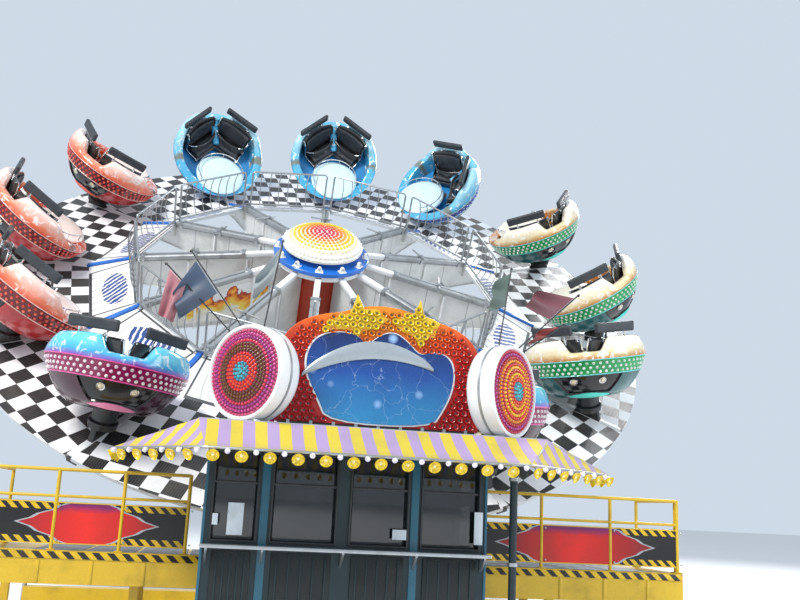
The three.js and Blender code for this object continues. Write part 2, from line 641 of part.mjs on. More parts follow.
const boom = new THREE.Group();
boom.position.set(0, PIVOT.y, PIVOT.z);
boom.rotation.x = TILT;
ride.add(boom);
piece(boom, 'boom_arm', boomArm(), look.white());

const rotor = new THREE.Group();
rotor.position.set(0, BOOM_LENGTH, DISC_OFFSET);
boom.add(rotor);
piece(rotor, 'slew_ring', slewRing(), look.steel());

const disc = new THREE.Group();
disc.rotation.z = DISC_PHASE;
rotor.add(disc);
piece(disc, 'hub_column', hubColumn(), look.hubRed());
piece(disc, 'hub_ring', hubRing(), look.blue());
piece(disc, 'hub_dome', hubDome(), look.lamps());
piece(disc, 'spoke_arms', arms(), look.steel());
piece(disc, 'spoke_girders', girders(), look.white());
piece(disc, 'guard_rail', guardRail(), look.steel());
for (const k of spokes) {
  const sector = piece(disc, `deck_sector_${number(k)}`, deckSector(), look.deck());
  sector.rotation.z = spokeAngle(k) - HALF;
}
for (const k of spokes) {
  const spoke = new THREE.Group();
  spoke.rotation.z = spokeAngle(k);
  disc.add(spoke);
  const mount = new THREE.Group();
  mount.position.set(TUB_PIVOT.r, 0, TUB_PIVOT.h);
  mount.rotation.y = -TUB_INCLINE;
  spoke.add(mount);
  const tub = new THREE.Group();
  tub.rotation.z = TUB_PHASE[k] * DEG;
  mount.add(tub);
  const colour = tubColours[Math.floor(k * tubColours.length / SPOKES)];
  piece(tub, `tub_${number(k)}_shell`, tubShell(), paint(colour, 0.25));
  piece(tub, `tub_${number(k)}_seats`, tubSeats(), look.seat());
}

export default ride;
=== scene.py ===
# %% [markdown]
# # A tilting disc ride, dressed for the studio
# The real ride lifts a big chequered disc on a boom, turns it, and lets twelve round tubs spin
# freely on it. The packed model already holds every piece at its place. This lesson gives each
# visible piece its surface: fine meshes worked out with numpy, and procedural materials.

from math import asin, atan, cos, pi, radians, sin, sqrt, tan

import bmesh
import bpy
import numpy as np
from mathutils import Matrix


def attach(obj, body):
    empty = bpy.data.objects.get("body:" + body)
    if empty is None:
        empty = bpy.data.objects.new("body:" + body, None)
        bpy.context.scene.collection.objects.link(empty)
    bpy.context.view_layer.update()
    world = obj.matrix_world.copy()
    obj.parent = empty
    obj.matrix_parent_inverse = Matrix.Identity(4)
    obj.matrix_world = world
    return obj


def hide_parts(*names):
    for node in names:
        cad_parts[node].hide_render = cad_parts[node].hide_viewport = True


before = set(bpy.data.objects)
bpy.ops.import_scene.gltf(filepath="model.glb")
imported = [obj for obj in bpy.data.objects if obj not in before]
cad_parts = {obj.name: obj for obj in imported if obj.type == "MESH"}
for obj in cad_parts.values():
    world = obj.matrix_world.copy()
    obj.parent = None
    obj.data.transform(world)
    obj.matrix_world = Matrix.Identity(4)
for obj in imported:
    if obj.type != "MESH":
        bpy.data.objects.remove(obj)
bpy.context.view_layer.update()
random = np.random.default_rng(12)

# %% [markdown]
# ## Camera
# The photograph was taken at eye height, looking up at the disc from the front left. A camera could
# be aimed by eye. Here its place and its turns come from a fit to the chequer squares and the rims
# of the tubs, which also gives the photograph's slight roll.

# %% Camera
PHOTO_WIDTH = 800  # pixels
PHOTO_FOCAL = 930  # pixels
SENSOR = 36  # millimetres
CAMERA_PLACE = (-1.777, -19.105, 1.651)
CAMERA_AZIMUTH = radians(10.58)  # from +Y towards +X
CAMERA_LIFT = radians(12.68)
CAMERA_ROLL = radians(2.76)

lens_data = bpy.data.cameras.new("camera")
lens_data.sensor_width = SENSOR
lens_data.lens = SENSOR * PHOTO_FOCAL / PHOTO_WIDTH
camera = bpy.data.objects.new("camera", lens_data)
bpy.context.scene.collection.objects.link(camera)
camera.matrix_world = (
    Matrix.Translation(CAMERA_PLACE)
    @ Matrix.Rotation(-CAMERA_AZIMUTH, 4, "Z")
    @ Matrix.Rotation(pi / 2 + CAMERA_LIFT, 4, "X")
    @ Matrix.Rotation(CAMERA_ROLL, 4, "Z")
)
bpy.context.scene.camera = camera
print("Lens:", round(lens_data.lens, 2), "mm")

# %% [markdown]
# ## Studio
# A plain pale floor under one soft sky keeps every side readable. A photographed sky would be
# livelier but would tint the paint, so three lamps do the rest: a large key light high on the left
# front gives the tubs their highlights, and two weaker ones keep the rear and the underside clear.

# %% Studio
def rgb(text):
    """Linear colour of a web colour: each channel c becomes ((c + 0.055) / 1.055) ** 2.4."""
    channels = np.array([int(text[i:i + 2], 16) / 255 for i in (1, 3, 5)])
    linear = np.where(channels <= 0.04045, channels / 12.92, ((channels + 0.055) / 1.055) ** 2.4)
    return tuple(float(c) for c in linear)


def area_light(name, place, target, size, power, colour=(1, 1, 1)):
    """A square lamp at a place, facing a target."""
    data = bpy.data.lights.new(name, "AREA")
    data.size = size
    data.energy = power
    data.color = colour
    lamp = bpy.data.objects.new(name, data)
    bpy.context.scene.collection.objects.link(lamp)
    back = Matrix.Translation(place).translation - Matrix.Translation(target).translation
    facing_target = back.to_track_quat("Z", "Y").to_matrix().to_4x4()
    lamp.matrix_world = Matrix.Translation(place) @ facing_target


world = bpy.data.worlds.new("studio")
bpy.context.scene.world = world
world.use_nodes = True
world.node_tree.nodes["Background"].inputs["Color"].default_value = (*rgb("#d3dfec"), 1)
world.node_tree.nodes["Background"].inputs["Strength"].default_value = 0.95
bpy.context.scene.view_settings.view_transform = "Standard"

area_light("key", (-16, -20, 24), (0, 0, 4), 9, 9000, (1, 0.97, 0.92))
area_light("rim", (16, 14, 20), (0, 0, 5), 10, 5000)
area_light("fill", (18, -16, 8), (0, -4, 3), 10, 1500, (0.92, 0.96, 1))

FLOOR_REACH = 200  # metres, as every length from here on
FLOOR_CORNERS = [(-1, -1), (1, -1), (1, 1), (-1, 1)]
floor_mesh = bpy.data.meshes.new("studio_floor")
floor_mesh.from_pydata([(x * FLOOR_REACH, y * FLOOR_REACH, 0) for x, y in FLOOR_CORNERS],
                       [], [(0, 1, 2, 3)])
studio_floor = bpy.data.objects.new("studio_floor", floor_mesh)
bpy.context.scene.collection.objects.link(studio_floor)
print("Lights:", len(bpy.data.lights))

# %% [markdown]
# ## Frames of the moving parts
# Each piece is worked out in the easy frame of its own body: the disc lies flat with its spokes
# round Z, a sector lies along X, and a tub stands level with its seats towards X. Each tub is tilted
# on a spindle that leans to the hub, and is turned round that spindle by its own angle. A frame is a
# turn and an origin, so a piece is placed by one matrix product over all its points.

# %% Frames
TILT = radians(41.6)  # of the disc
BOOM_LENGTH = 6.95
DISC_OFFSET = 1.1  # from the boom's line to the disc's origin
PIVOT_Z = 0.8  # of the boom's hinge
PIVOT_Y = DISC_OFFSET * sin(TILT) - BOOM_LENGTH * cos(TILT)
SPOKES = 12
STEP = 2 * pi / SPOKES
HALF = STEP / 2
DISC_PHASE = radians(-155.5)
TUB_PIVOT_R, TUB_PIVOT_H = 6.175, -0.18
TUB_INCLINE = radians(20)  # of a tub's spindle
SHELL_TILT = radians(22)  # of the shell on its spindle
SHELL_PLACE = np.array([0.09, 0, 0.2575])
TUB_PHASE = np.radians([15, 44, 92, -8, 8, -40, -88, -44, -68, -25, 10, 42])


def turn(axis, angle):
    """The matrix that turns by an angle about X, Y or Z."""
    return np.array(Matrix.Rotation(angle, 3, axis))


def placed(points, where):
    """Every point turned by the frame's matrix and moved to its origin."""
    rotation, origin = where
    return points @ rotation.T + origin


def inside(outer, inner):
    """The frame 'inner', given in the frame 'outer', as a frame of the whole ride."""
    return outer[0] @ inner[0], outer[0] @ inner[1] + outer[1]


ORIGIN = np.zeros(3)
HUB_Z = PIVOT_Z + BOOM_LENGTH * sin(TILT) + DISC_OFFSET * cos(TILT)
DISC = (turn("X", TILT) @ turn("Z", DISC_PHASE), np.array([0, 0, HUB_Z]))


def spoke_frame(k, offset=0.0):
    """The disc's frame turned so that X runs along spoke k, or along the middle of a sector."""
    return inside(DISC, (turn("Z", -STEP * k - offset), ORIGIN))


def spindle_frame(k):
    """The frame of tub k's spindle, turned with the tub: Z along the turning axis."""
    mount = (turn("Y", -TUB_INCLINE), np.array([TUB_PIVOT_R, 0, TUB_PIVOT_H]))
    return inside(inside(spoke_frame(k), mount), (turn("Z", TUB_PHASE[k]), ORIGIN))


def tub_frame(k):
    """The frame of tub k's tilted shell: Z square to its lip, X towards the seats."""
    return inside(spindle_frame(k), (turn("Y", -SHELL_TILT), SHELL_PLACE))


print("Hub height:", round(HUB_Z, 3), "m")

# %% [markdown]
# ## Surfaces from arrays
# The ride is sheet, tube and moulded glass fibre. Blender's own primitives and modifiers could
# build it piece by piece. Here every shape is a grid of points worked out at once, a profile turned
# round an axis, a section carried along a path, or a plate between two outlines, because numpy then
# does the whole surface in one formula. A shape keeps its points, quads, UV, tint and finish number
# side by side, so shapes join by stacking their arrays.

# %% Shapes as arrays
def vectors(*coordinates):
    """Vectors from their coordinates, each an array or one number for all."""
    return np.stack(np.broadcast_arrays(*coordinates), -1)


def surface(points, uv=None, tint=(1, 1, 1), finish=0):
    """Quads over a grid of points (rows, columns, 3), between each row and column and the next."""
    rows, columns = points.shape[:2]
    index = np.arange(rows * columns).reshape(rows, columns)
    corners = [index[:-1, :-1], index[:-1, 1:], index[1:, 1:], index[1:, :-1]]
    quads = np.stack(corners, -1).reshape(-1, 4)
    count = rows * columns
    return {
        "points": points.reshape(count, 3),
        "quads": quads,
        "uv": np.zeros((count, 2)) if uv is None else np.asarray(uv, float).reshape(count, 2),
        "tint": np.broadcast_to(np.asarray(tint, float), (rows, columns, 3)).reshape(count, 3),
        "finish": np.full(len(quads), finish),
    }


def together(*shapes):
    """One shape from several: the quads of each count on from the points before it."""
    starts = np.cumsum([0] + [len(s["points"]) for s in shapes])
    keys = ("points", "uv", "tint", "finish")
    joined = {key: np.concatenate([s[key] for s in shapes]) for key in keys}
    joined["quads"] = np.concatenate([s["quads"] + n for s, n in zip(shapes, starts)])
    return joined


def moved(shape, where):
    """The same shape in another frame."""
    return {**shape, "points": placed(shape["points"], where)}


def at(shape, x, y, z):
    """The same shape, moved without a turn."""
    return moved(shape, (np.eye(3), [x, y, z]))


def repeated(shape, frames):
    """The shape once in each frame."""
    return together(*[moved(shape, where) for where in frames])


def copies(shape, origins, turns, tints=None):
    """A small shape set down at many origins, each with its own turn (n, 3, 3) and tint."""
    count, size = len(origins), len(shape["points"])
    points = np.einsum("nij,mj->nmi", turns, shape["points"]) + origins[:, None]
    quads = shape["quads"][None] + size * np.arange(count)[:, None, None]
    tint = np.ones((count, 3)) if tints is None else tints
    return {
        "points": points.reshape(-1, 3),
        "quads": quads.reshape(-1, 4),
        "uv": np.tile(shape["uv"], (count, 1)),
        "tint": np.repeat(tint, size, axis=0),
        "finish": np.tile(shape["finish"], count),
    }

print("A shape keeps:", ", ".join(surface(np.zeros((2, 2, 3)))))

# %% Profiles turned round an axis
def facing(normals, hint=(0, 0, 1)):
    """For each normal, the turn whose third axis is the normal and whose second is close to a hint."""
    z = unit(normals)
    x = unit(np.cross(np.broadcast_to(hint, z.shape), z))
    return vectors(x, np.cross(z, x), z)


def turned(profile, steps=48, tint=(1, 1, 1), finish=0):
    """A profile of (radius, height) turned round Z: (r cos a, r sin a, z). UV is (a / 2 pi, row)."""
    r, z = np.asarray(profile, float).T
    a = np.linspace(0, 2 * pi, steps + 1)
    points = vectors(np.outer(r, np.cos(a)), np.outer(r, np.sin(a)), np.outer(z, 0 * a + 1))
    rows = np.linspace(0, 1, len(r))
    uv = np.stack(np.meshgrid(a / (2 * pi), rows), -1)
    return surface(points, uv, tint, finish)


def unit(arrows):
    """Vectors scaled to length one."""
    return arrows / np.linalg.norm(arrows, axis=-1, keepdims=True)


def dome(radius, height, sides=8, rings=2):
    """A lamp's cap: (R cos b, H sin b) for b from 0 to a quarter turn, closed underneath."""
    b = np.linspace(0, pi / 2, rings + 1)
    profile = [(0, 0), *zip(radius * np.cos(b), height * np.sin(b))]
    return turned(profile, sides)


print("Quads of a lamp cap:", len(dome(0.03, 0.03)["quads"]))

# %% Sections carried along a path
def swept(path, section, up=(0, 0, 1), loop=False, finish=0):
    """A closed section (across, over) carried along a path, 'over' staying close to 'up'."""
    path = np.asarray(path, float)
    if loop:
        along = unit(np.roll(path, -1, 0) - np.roll(path, 1, 0))
    else:
        along = unit(np.gradient(path, axis=0))
    across = unit(np.cross(np.broadcast_to(up, path.shape), along))
    over = np.cross(along, across)
    section = np.vstack([section, section[:1]])
    rings = path[:, None] + section[:, :1] * across[:, None] + section[:, 1:] * over[:, None]
    if loop:
        rings = np.concatenate([rings, rings[:1]])
    else:
        ends = [np.repeat(path[i][None, None], len(section), 1) for i in (0, -1)]
        rings = np.concatenate([ends[0], rings, ends[1]])
    return surface(rings, finish=finish)


def circle(radius, sides=8):
    """Corners of a regular outline round the origin."""
    a = np.arange(sides) * 2 * pi / sides
    return radius * vectors(np.cos(a), np.sin(a))


def rounded(width, depth, radius, steps=2):
    """A rectangle's outline with each corner a quarter circle."""
    a = np.linspace(0, pi / 2, steps + 1)
    corners = []
    for i, (sx, sy) in enumerate(((1, 1), (-1, 1), (-1, -1), (1, -1))):
        centre = np.array([sx * (width / 2 - radius), sy * (depth / 2 - radius)])
        b = a + i * pi / 2
        corners.append(centre + radius * vectors(np.cos(b), np.sin(b)))
    return np.concatenate(corners)


def tube(path, radius, sides=8, up=(0, 0, 1), loop=False, finish=0):
    """A round bar along a path."""
    return swept(path, circle(radius, sides), up, loop, finish)


def bar(start, end, width, depth, up=(0, 0, 1), edge=0.006, finish=0):
    """A straight bar of rounded rectangular section between two points."""
    return swept(np.linspace(start, end, 2), rounded(width, depth, edge), up, finish=finish)

print("Points of a round bar:", len(tube([(0, 0, 0), (0, 1, 0)], 0.02)["points"]))

# %% Plates and slabs
def plate(outline, low, high, edge=0.0, centre=None, finish=0):
    """A slab from low to high under an outline in XY. Its rim steps in by 'edge' at both faces."""
    outline = np.vstack([outline, outline[:1]])
    middle = outline[:-1].mean(0) if centre is None else np.asarray(centre, float)
    inner = outline - edge * unit(outline - middle)
    rows = [(middle + 0 * outline, low), (inner, low), (outline, low + edge),
            (outline, high - edge), (inner, high), (middle + 0 * outline, high)]
    points = np.stack([np.column_stack([xy, np.full(len(xy), z)]) for xy, z in rows])
    return surface(points, uv=points[..., :2], finish=finish)


def block(x0, x1, y0, y1, z0, z1, edge=0.006, finish=0):
    """A box by its low and high corners, with rounded upright edges."""
    outline = rounded(x1 - x0, y1 - y0, edge) + [(x0 + x1) / 2, (y0 + y1) / 2]
    return plate(outline, z0, z1, edge, finish=finish)


def slab_under(top, drop, uv, finish=0, side_finish=1):
    """A closed slab: a grid of points, the same grid moved by 'drop', and a strip round them."""
    rim = np.concatenate([top[0], top[1:, -1], top[-1, -2::-1], top[-2::-1, 0]])
    strip = np.stack([rim, rim + drop])
    return together(surface(top, uv, finish=finish), surface(top[::-1] + drop, finish=side_finish),
                    surface(strip, finish=side_finish))


print("Points of a box:", len(block(0, 1, 0, 1, 0, 1)["points"]))

# %% [markdown]
# ## From arrays to pieces
# One function turns a shape into a Blender mesh. Faces could be added one by one, but a bulk copy of
# the arrays takes a moment for thousands. The function welds the seams and poles, so that each
# surface is closed, turns the faces outwards, and hands the piece to its CAD body. The object stays
# at the origin, with its place in its mesh.

# %% Pieces
WELD = 2e-5  # metres


def piece(name, shape, body, finishes, stands_for=(), sharp=38):
    """A mesh object from a shape, riding on a body and standing for some CAD nodes."""
    mesh = bpy.data.meshes.new(name)
    corners = shape["quads"].astype(np.int32).ravel()
    mesh.vertices.add(len(shape["points"]))
    mesh.vertices.foreach_set("co", shape["points"].astype(np.float32).ravel())
    mesh.loops.add(len(corners))
    mesh.loops.foreach_set("vertex_index", corners)
    mesh.polygons.add(len(shape["quads"]))
    mesh.polygons.foreach_set("loop_start", np.arange(0, len(corners), 4, dtype=np.int32))
    mesh.polygons.foreach_set("material_index", shape["finish"].astype(np.int32))
    mesh.update(calc_edges=True)
    layer = mesh.uv_layers.new(name="UVMap")
    layer.uv.foreach_set("vector", shape["uv"][corners].astype(np.float32).ravel())
    tint = mesh.attributes.new("tint", "FLOAT_COLOR", "POINT")
    colour = np.column_stack([shape["tint"], np.ones(len(shape["tint"]))])
    tint.data.foreach_set("color", colour.astype(np.float32).ravel())
    work = bmesh.new()
    work.from_mesh(mesh)
    bmesh.ops.remove_doubles(work, verts=work.verts, dist=WELD)
    bmesh.ops.dissolve_degenerate(work, edges=work.edges, dist=WELD)
    bmesh.ops.recalc_face_normals(work, faces=work.faces)
    work.to_mesh(mesh)
    work.free()
    mesh.shade_smooth()
    mesh.set_sharp_from_angle(angle=radians(sharp))
    made = bpy.data.objects.new(name, mesh)
    for finish in finishes:
        mesh.materials.append(finish)
    bpy.context.scene.collection.objects.link(made)
    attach(made, body)
    if stands_for:
        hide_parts(*stands_for)
    print(name, "triangles:", sum(len(p.vertices) - 2 for p in mesh.polygons))
    return made


def finish_nodes(finish, *names):
    """Gives CAD nodes a better material in their own slots."""
    for name in names:
        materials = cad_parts[name].data.materials
        materials.clear()
        materials.append(finish)

print("CAD nodes to dress:", len(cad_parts))

# %% [markdown]
# ## Materials
# Paint on a travelling ride is washed, sun-bleached and wiped by hands, so no surface is one flat
# colour. Photographed textures would repeat and need a map on every piece. One node group works that
# weathering out from Object coordinates instead, and each material places it with its own colours
# and scale. Numbers that a tree works out are values, so that a formula reads as it is written.

# %% Nodes with their inputs
def node(tree, kind, inputs=None, **settings):
    """A new node with its settings; each input is linked to a socket or set to a value."""
    made = tree.nodes.new(kind)
    for key, value in settings.items():
        setattr(made, key, value)
    feed(tree, made.inputs, inputs or {})
    return made


def feed(tree, sockets, inputs):
    """Links each named input of a node to a socket, or sets it to a plain number or colour."""
    for key, value in inputs.items():
        value = getattr(value, "socket", value)
        if isinstance(value, bpy.types.NodeSocket):
            tree.links.new(value, sockets[key])
        else:
            sockets[key].default_value = value

# %% Numbers in a shader tree
def calc(tree, operation, *values):
    """The result of a Math node, as a value that can be worked on further."""
    made = node(tree, "ShaderNodeMath", dict(enumerate(values)), operation=operation)
    return Value(tree, made.outputs[0])


def math_node(operation):
    """A method that feeds a value, and any others, to a Math node of one kind."""
    return lambda self, *others: calc(self.tree, operation, self, *others)


class Value:
    """A number that a shader tree works out. Each sum, product or test of it adds a Math node."""

    __add__, __sub__, __mul__ = math_node("ADD"), math_node("SUBTRACT"), math_node("MULTIPLY")
    __truediv__, __mod__, __abs__ = math_node("DIVIDE"), math_node("MODULO"), math_node("ABSOLUTE")
    __lt__, __gt__, within = math_node("LESS_THAN"), math_node("GREATER_THAN"), math_node("COMPARE")
    floor, fract, sine = math_node("FLOOR"), math_node("FRACT"), math_node("SINE")
    larger, pingpong = math_node("MAXIMUM"), math_node("PINGPONG")

    def __init__(self, tree, socket):
        self.tree = tree
        self.socket = socket

    def __rsub__(self, number):
        """A plain number less this value."""
        return calc(self.tree, "SUBTRACT", number, self)

    def ramp(self, low, high):
        """The value stretched so that low becomes 0 and high becomes 1, and held between them."""
        inputs = {"Value": self, "From Min": low, "From Max": high}
        return Value(self.tree, node(self.tree, "ShaderNodeMapRange", inputs).outputs["Result"])

print("A value can be worked on by:", ", ".join(k for k in vars(Value) if k.isalpha()))

# %% Colours and groups
def blend(tree, factor, a, b, mode="MIX"):
    """The colour between a and b at a factor."""
    mix = node(tree, "ShaderNodeMix", data_type="RGBA", blend_type=mode)
    place = {socket.identifier: i for i, socket in enumerate(mix.inputs)}
    a, b = (with_alpha(colour) for colour in (a, b))
    feed(tree, mix.inputs, {place["Factor_Float"]: factor, place["A_Color"]: a, place["B_Color"]: b})
    return next(socket for socket in mix.outputs if socket.identifier == "Result_Color")


def with_alpha(colour):
    """A web colour or a plain one with an alpha of one; a number or socket stays as it is."""
    colour = rgb(colour) if isinstance(colour, str) else colour
    return (*colour, 1) if isinstance(colour, tuple) else colour


def shaded(tree, value, colour, *steps):
    """A colour that turns into the next one while a value passes (low, high), for each step."""
    for low, high, after in steps:
        colour = blend(tree, value.ramp(low, high), colour, after)
    return colour


def new_group(name, inputs, outputs):
    """An empty shader group with its sockets, {label: kind}, and its input and output nodes."""
    tree = bpy.data.node_groups.new(name, "ShaderNodeTree")
    for side, sockets in (("INPUT", inputs), ("OUTPUT", outputs)):
        for label, kind in sockets.items():
            tree.interface.new_socket(label, in_out=side, socket_type=f"NodeSocket{kind}")
    given, result = tree.nodes.new("NodeGroupInput"), tree.nodes.new("NodeGroupOutput")
    return tree, given.outputs, result


def use(tree, group, **inputs):
    """A group placed in a tree with its inputs. Returns its outputs."""
    made = node(tree, "ShaderNodeGroup", node_tree=group)
    feed(tree, made.inputs, {key: with_alpha(value) for key, value in inputs.items()})
    return made.outputs


def material(name):
    """A new material, its tree and its Principled shader."""
    made = bpy.data.materials.new(name)
    made.use_nodes = True
    return made, made.node_tree, made.node_tree.nodes["Principled BSDF"]

# %% Coordinates and noises
def object_point(tree):
    """The Object coordinates, in metres."""
    return node(tree, "ShaderNodeTexCoord").outputs["Object"]


def surface_uv(tree):
    """U and V of the piece's own map, as values."""
    return parts(tree, node(tree, "ShaderNodeUVMap", uv_map="UVMap").outputs[0])[:2]


def parts(tree, vector):
    """X, Y and Z of a vector, as values."""
    outputs = node(tree, "ShaderNodeSeparateXYZ", {0: vector}).outputs
    return [Value(tree, socket) for socket in outputs]


def vector_math(tree, operation, *inputs):
    """A Vector Math node on some inputs."""
    return node(tree, "ShaderNodeVectorMath", dict(enumerate(inputs)), operation=operation)


def noise(tree, scale, detail, **more):
    """Noise over the Object coordinates, as a value; 'more' names further inputs of the node."""
    inputs = {"Vector": object_point(tree), "Scale": scale, "Detail": detail, **more}
    return Value(tree, node(tree, "ShaderNodeTexNoise", inputs).outputs["Fac"])


def cells(tree, scale):
    """Distance to the nearest of many scattered points over the Object coordinates."""
    inputs = {"Vector": object_point(tree), "Scale": scale}
    return Value(tree, node(tree, "ShaderNodeTexVoronoi", inputs).outputs["Distance"])

# %% Weathering group
weather, given, result = new_group(
    "Weathering",
    dict(Colour="Color", Dirt="Color", Scale="Float", Amount="Float", Roughness="Float"),
    dict(Colour="Color", Roughness="Float", Height="Float"),
)
broad = noise(weather, given["Scale"], 6.0, Roughness=0.62)
fine = noise(weather, 55.0, 3.0)
stain = broad.ramp(0.48, 0.78) * given["Amount"]
shade = blend(weather, fine.ramp(0.3, 0.7) * 0.10, given["Colour"], given["Dirt"])
feed(weather, result.inputs, {"Colour": blend(weather, stain, shade, given["Dirt"]),
                              "Roughness": stain * 0.4 + given["Roughness"], "Height": fine + broad})
print("Nodes of the weathering:", len(weather.nodes))

# %% Painted and metal finishes
def bumped(tree, shader, height, distance, strength=0.3):
    """Feeds a height to the shader's normal through a Bump node."""
    bump = node(tree, "ShaderNodeBump", {"Height": height, "Distance": distance, "Strength": strength})
    tree.links.new(bump.outputs["Normal"], shader.inputs["Normal"])


def weathered(tree, shader, colour, dirt="#3a352c", scale=2.5, amount=0.35, roughness=0.4,
              height=None, distance=0.002, strength=0.25):
    """Weathering between a colour and the shader, with a relief from its own or another height."""
    out = use(tree, weather, Colour=colour, Dirt=dirt, Scale=scale, Amount=amount,
              Roughness=roughness)
    feed(tree, shader.inputs, {"Base Color": out["Colour"], "Roughness": out["Roughness"]})
    bumped(tree, shader, out["Height"] if height is None else height, distance, strength)


def painted(name, colour, roughness=0.35, coat=0.0, metallic=0.0, **wear):
    """Paint of one colour with its weathering."""
    made, tree, shader = material(name)
    feed(tree, shader.inputs, {"Metallic": metallic, "Coat Weight": coat, "Coat Roughness": 0.08})
    weathered(tree, shader, colour, roughness=roughness, **wear)
    return made


STEEL = painted("galvanised_steel", "#b4b8bb", 0.32, metallic=0.85, dirt="#6b6c69", scale=6,
                amount=0.5)
CHROME = painted("chrome", "#e6e8ea", 0.08, metallic=1.0, dirt="#8d9194", scale=9, amount=0.25)
WHITE = painted("white_paint", "#eef0f1", 0.35, coat=0.3, dirt="#8d8a82", scale=1.4, amount=0.4)
BLUE = painted("blue_paint", "#1f6fd0", 0.3, coat=0.4, dirt="#123a70", scale=3)
RED = painted("hub_red", "#d2331a", 0.35, coat=0.3, dirt="#4f130c", scale=3, amount=0.45)
YELLOW = painted("yellow_paint", "#d8b21f", 0.4, coat=0.2, dirt="#4b4018", scale=2.2, amount=0.5)
BLACK = painted("black_paint", "#16181b", 0.35, coat=0.2, dirt="#3a3b3c", scale=4)
print("Materials so far:", len(bpy.data.materials))

# %% [markdown]
# ## Deck sectors
# The disc's top is twelve flat sectors: a white floor plate next to the hub, with thin wavy lines,
# a dark frame line and a blue motif, then a longer chequered deck of black and white squares.
# Each square could be a plate of its own. On the ride they are paint, and paint belongs in the
# material, so each sector is one slab with its UV in metres, and the squares are counted from the
# line where the two plates meet.

# %% Deck squares
SQUARE = 0.3354  # side of a deck square
RIB_PITCH = 0.042  # of the fine ribs on the black squares
EVEN_SHIFT = 40.0  # added to a count so that it never falls below zero


def deck_material():
    """Squares from UV in metres: floor(u) + floor(v) is odd on the black ones, which have ribs."""
    made, tree, shader = material("deck_squares")
    u, v = surface_uv(tree)
    black = ((u / SQUARE).floor() + (v / SQUARE).floor() + EVEN_SHIFT) % 2.0
    rib = (u * (2 * pi / RIB_PITCH)).sine()
    colour = blend(tree, black, "#f1f2f4", "#15171a")
    colour = blend(tree, black * (rib.ramp(0.3, 1.0) * 0.16), colour, "#8b9098")
    weathered(tree, shader, colour, "#77736a", 1.3, 0.35, 0.36, black * rib, 0.004, 0.5)
    return made

# %% Floor plate paint
LINE_PITCH = 0.25  # of the wavy lines
FRAME_HALF = 0.85  # from the plate's middle to its frame line
STROKE_PITCH = 0.145  # of the leaf's strokes


def floor_material():
    """White plate: a dark frame, wavy grey lines along v, fract(u + waves) near 1/2, and a leaf.

    The leaf's strokes slant with u - 0.75 v, inside an ellipse with a ragged edge.
    """
    made, tree, shader = material("floor_plate_paint")
    u, v = surface_uv(tree)
    aside = abs(u)
    wave = ((u + (v * 4.5).sine() * 0.05 + 4.0) / LINE_PITCH).fract()
    line = wave.within(0.5, 0.07) * (aside < FRAME_HALF - 0.01) * v.within(0.47, 0.38)
    colour = blend(tree, line * 0.55, "#f3f4f4", "#7c8076")
    edges = v.within(0.06, 0.02).larger(v.within(0.875, 0.03)).larger(aside.within(FRAME_HALF, 0.02))
    colour = blend(tree, edges * (aside < FRAME_HALF + 0.02), colour, "#33383e")
    across, over = (u - 0.04) / 0.62, (v - 0.42) / 0.24
    ragged = noise(tree, 7.0, 1.0)
    stroke = ((u - v * 0.75 + ragged * 0.09 + 4.0) / STROKE_PITCH).fract() < 0.62
    leaf = across * across + over * over + ragged * 0.5 < 1.25
    colour = blend(tree, leaf * stroke, colour, "#0f3a86")
    weathered(tree, shader, colour, "#8b877e", 1.6, 0.3, 0.34)
    return made


DECK_PAINTS = [floor_material(), deck_material(),
               painted("deck_edge", "#c9ced4", 0.4, dirt="#5d5a54", scale=3)]
print("Deck paints:", ", ".join(paint.name for paint in DECK_PAINTS))

# %% Deck sectors
# (distance from the axis, height) at a spoke of the plates' edges
FLOOR_IN, FLOOR_OUT, DECK_OUT = (3.8, 0.0), (4.736, -0.332), (6.9, -0.405)
SEAM = 0.06  # from a spoke to the plates beside it
THICK = 0.06
# how far each sector's squares are shifted across and along it, in squares
SLIDES = [(1, 0), (1.1, 0), (1.05, 0), (0.8, 0), (0.5, 0), (0.3, 0), (0.2, 0), (0.2, 0),
          (1, 0.5), (1, 0), (1.5, 0.25), (0, 0.5)]


def side_at(x):
    """Half width of a sector at a distance from the axis: x tan(15 degrees), less the seam."""
    return x * tan(HALF) - SEAM / cos(HALF)


def plate_height(x, start, end):
    """Height of a sloping plate at x, straight from one chord to the next."""
    x0, x1 = start[0] * cos(HALF), end[0] * cos(HALF)
    return start[1] + (x - x0) * (end[1] - start[1]) / (x1 - x0)


def sloping_plate(inner, outer, start, end, finish, slide=(0, 0)):
    """A sloping slab between two edges, lists of (x, y). Its UV is (y, distance from the inner)."""
    flat = inner + np.linspace(0, 1, 5)[:, None, None] * (outer - inner)
    top = np.concatenate([flat, plate_height(flat[..., :1], start, end)], -1)
    uv = vectors(flat[..., 1], flat[..., 0] - start[0] * cos(HALF))
    uv = uv + np.array(slide) * SQUARE
    return slab_under(top, np.array([0, 0, -THICK]), uv, finish, 2)


def deck_sector(k):
    """One sector: the floor plate and the deck, in the disc's frame."""
    x0, x1 = FLOOR_IN[0] * cos(HALF), FLOOR_OUT[0] * cos(HALF)
    share = np.linspace(-1, 1, 13)
    arc = (HALF - asin(SEAM / DECK_OUT[0])) * share
    inner = vectors(x0, side_at(x0) * share)
    middle = vectors(x1, side_at(x1) * share)
    outer = DECK_OUT[0] * vectors(np.cos(arc), np.sin(arc))
    floor = sloping_plate(inner, middle, FLOOR_IN, FLOOR_OUT, 0)
    deck = sloping_plate(middle + [0.002, 0], outer, FLOOR_OUT, DECK_OUT, 1, SLIDES[k])
    return moved(together(floor, deck), spoke_frame(k, HALF))


for k in range(SPOKES):
    piece(f"deck_{k + 1:02d}", deck_sector(k), "disc", DECK_PAINTS,
          [f"deck_sector_{k + 1:02d}"], sharp=20)

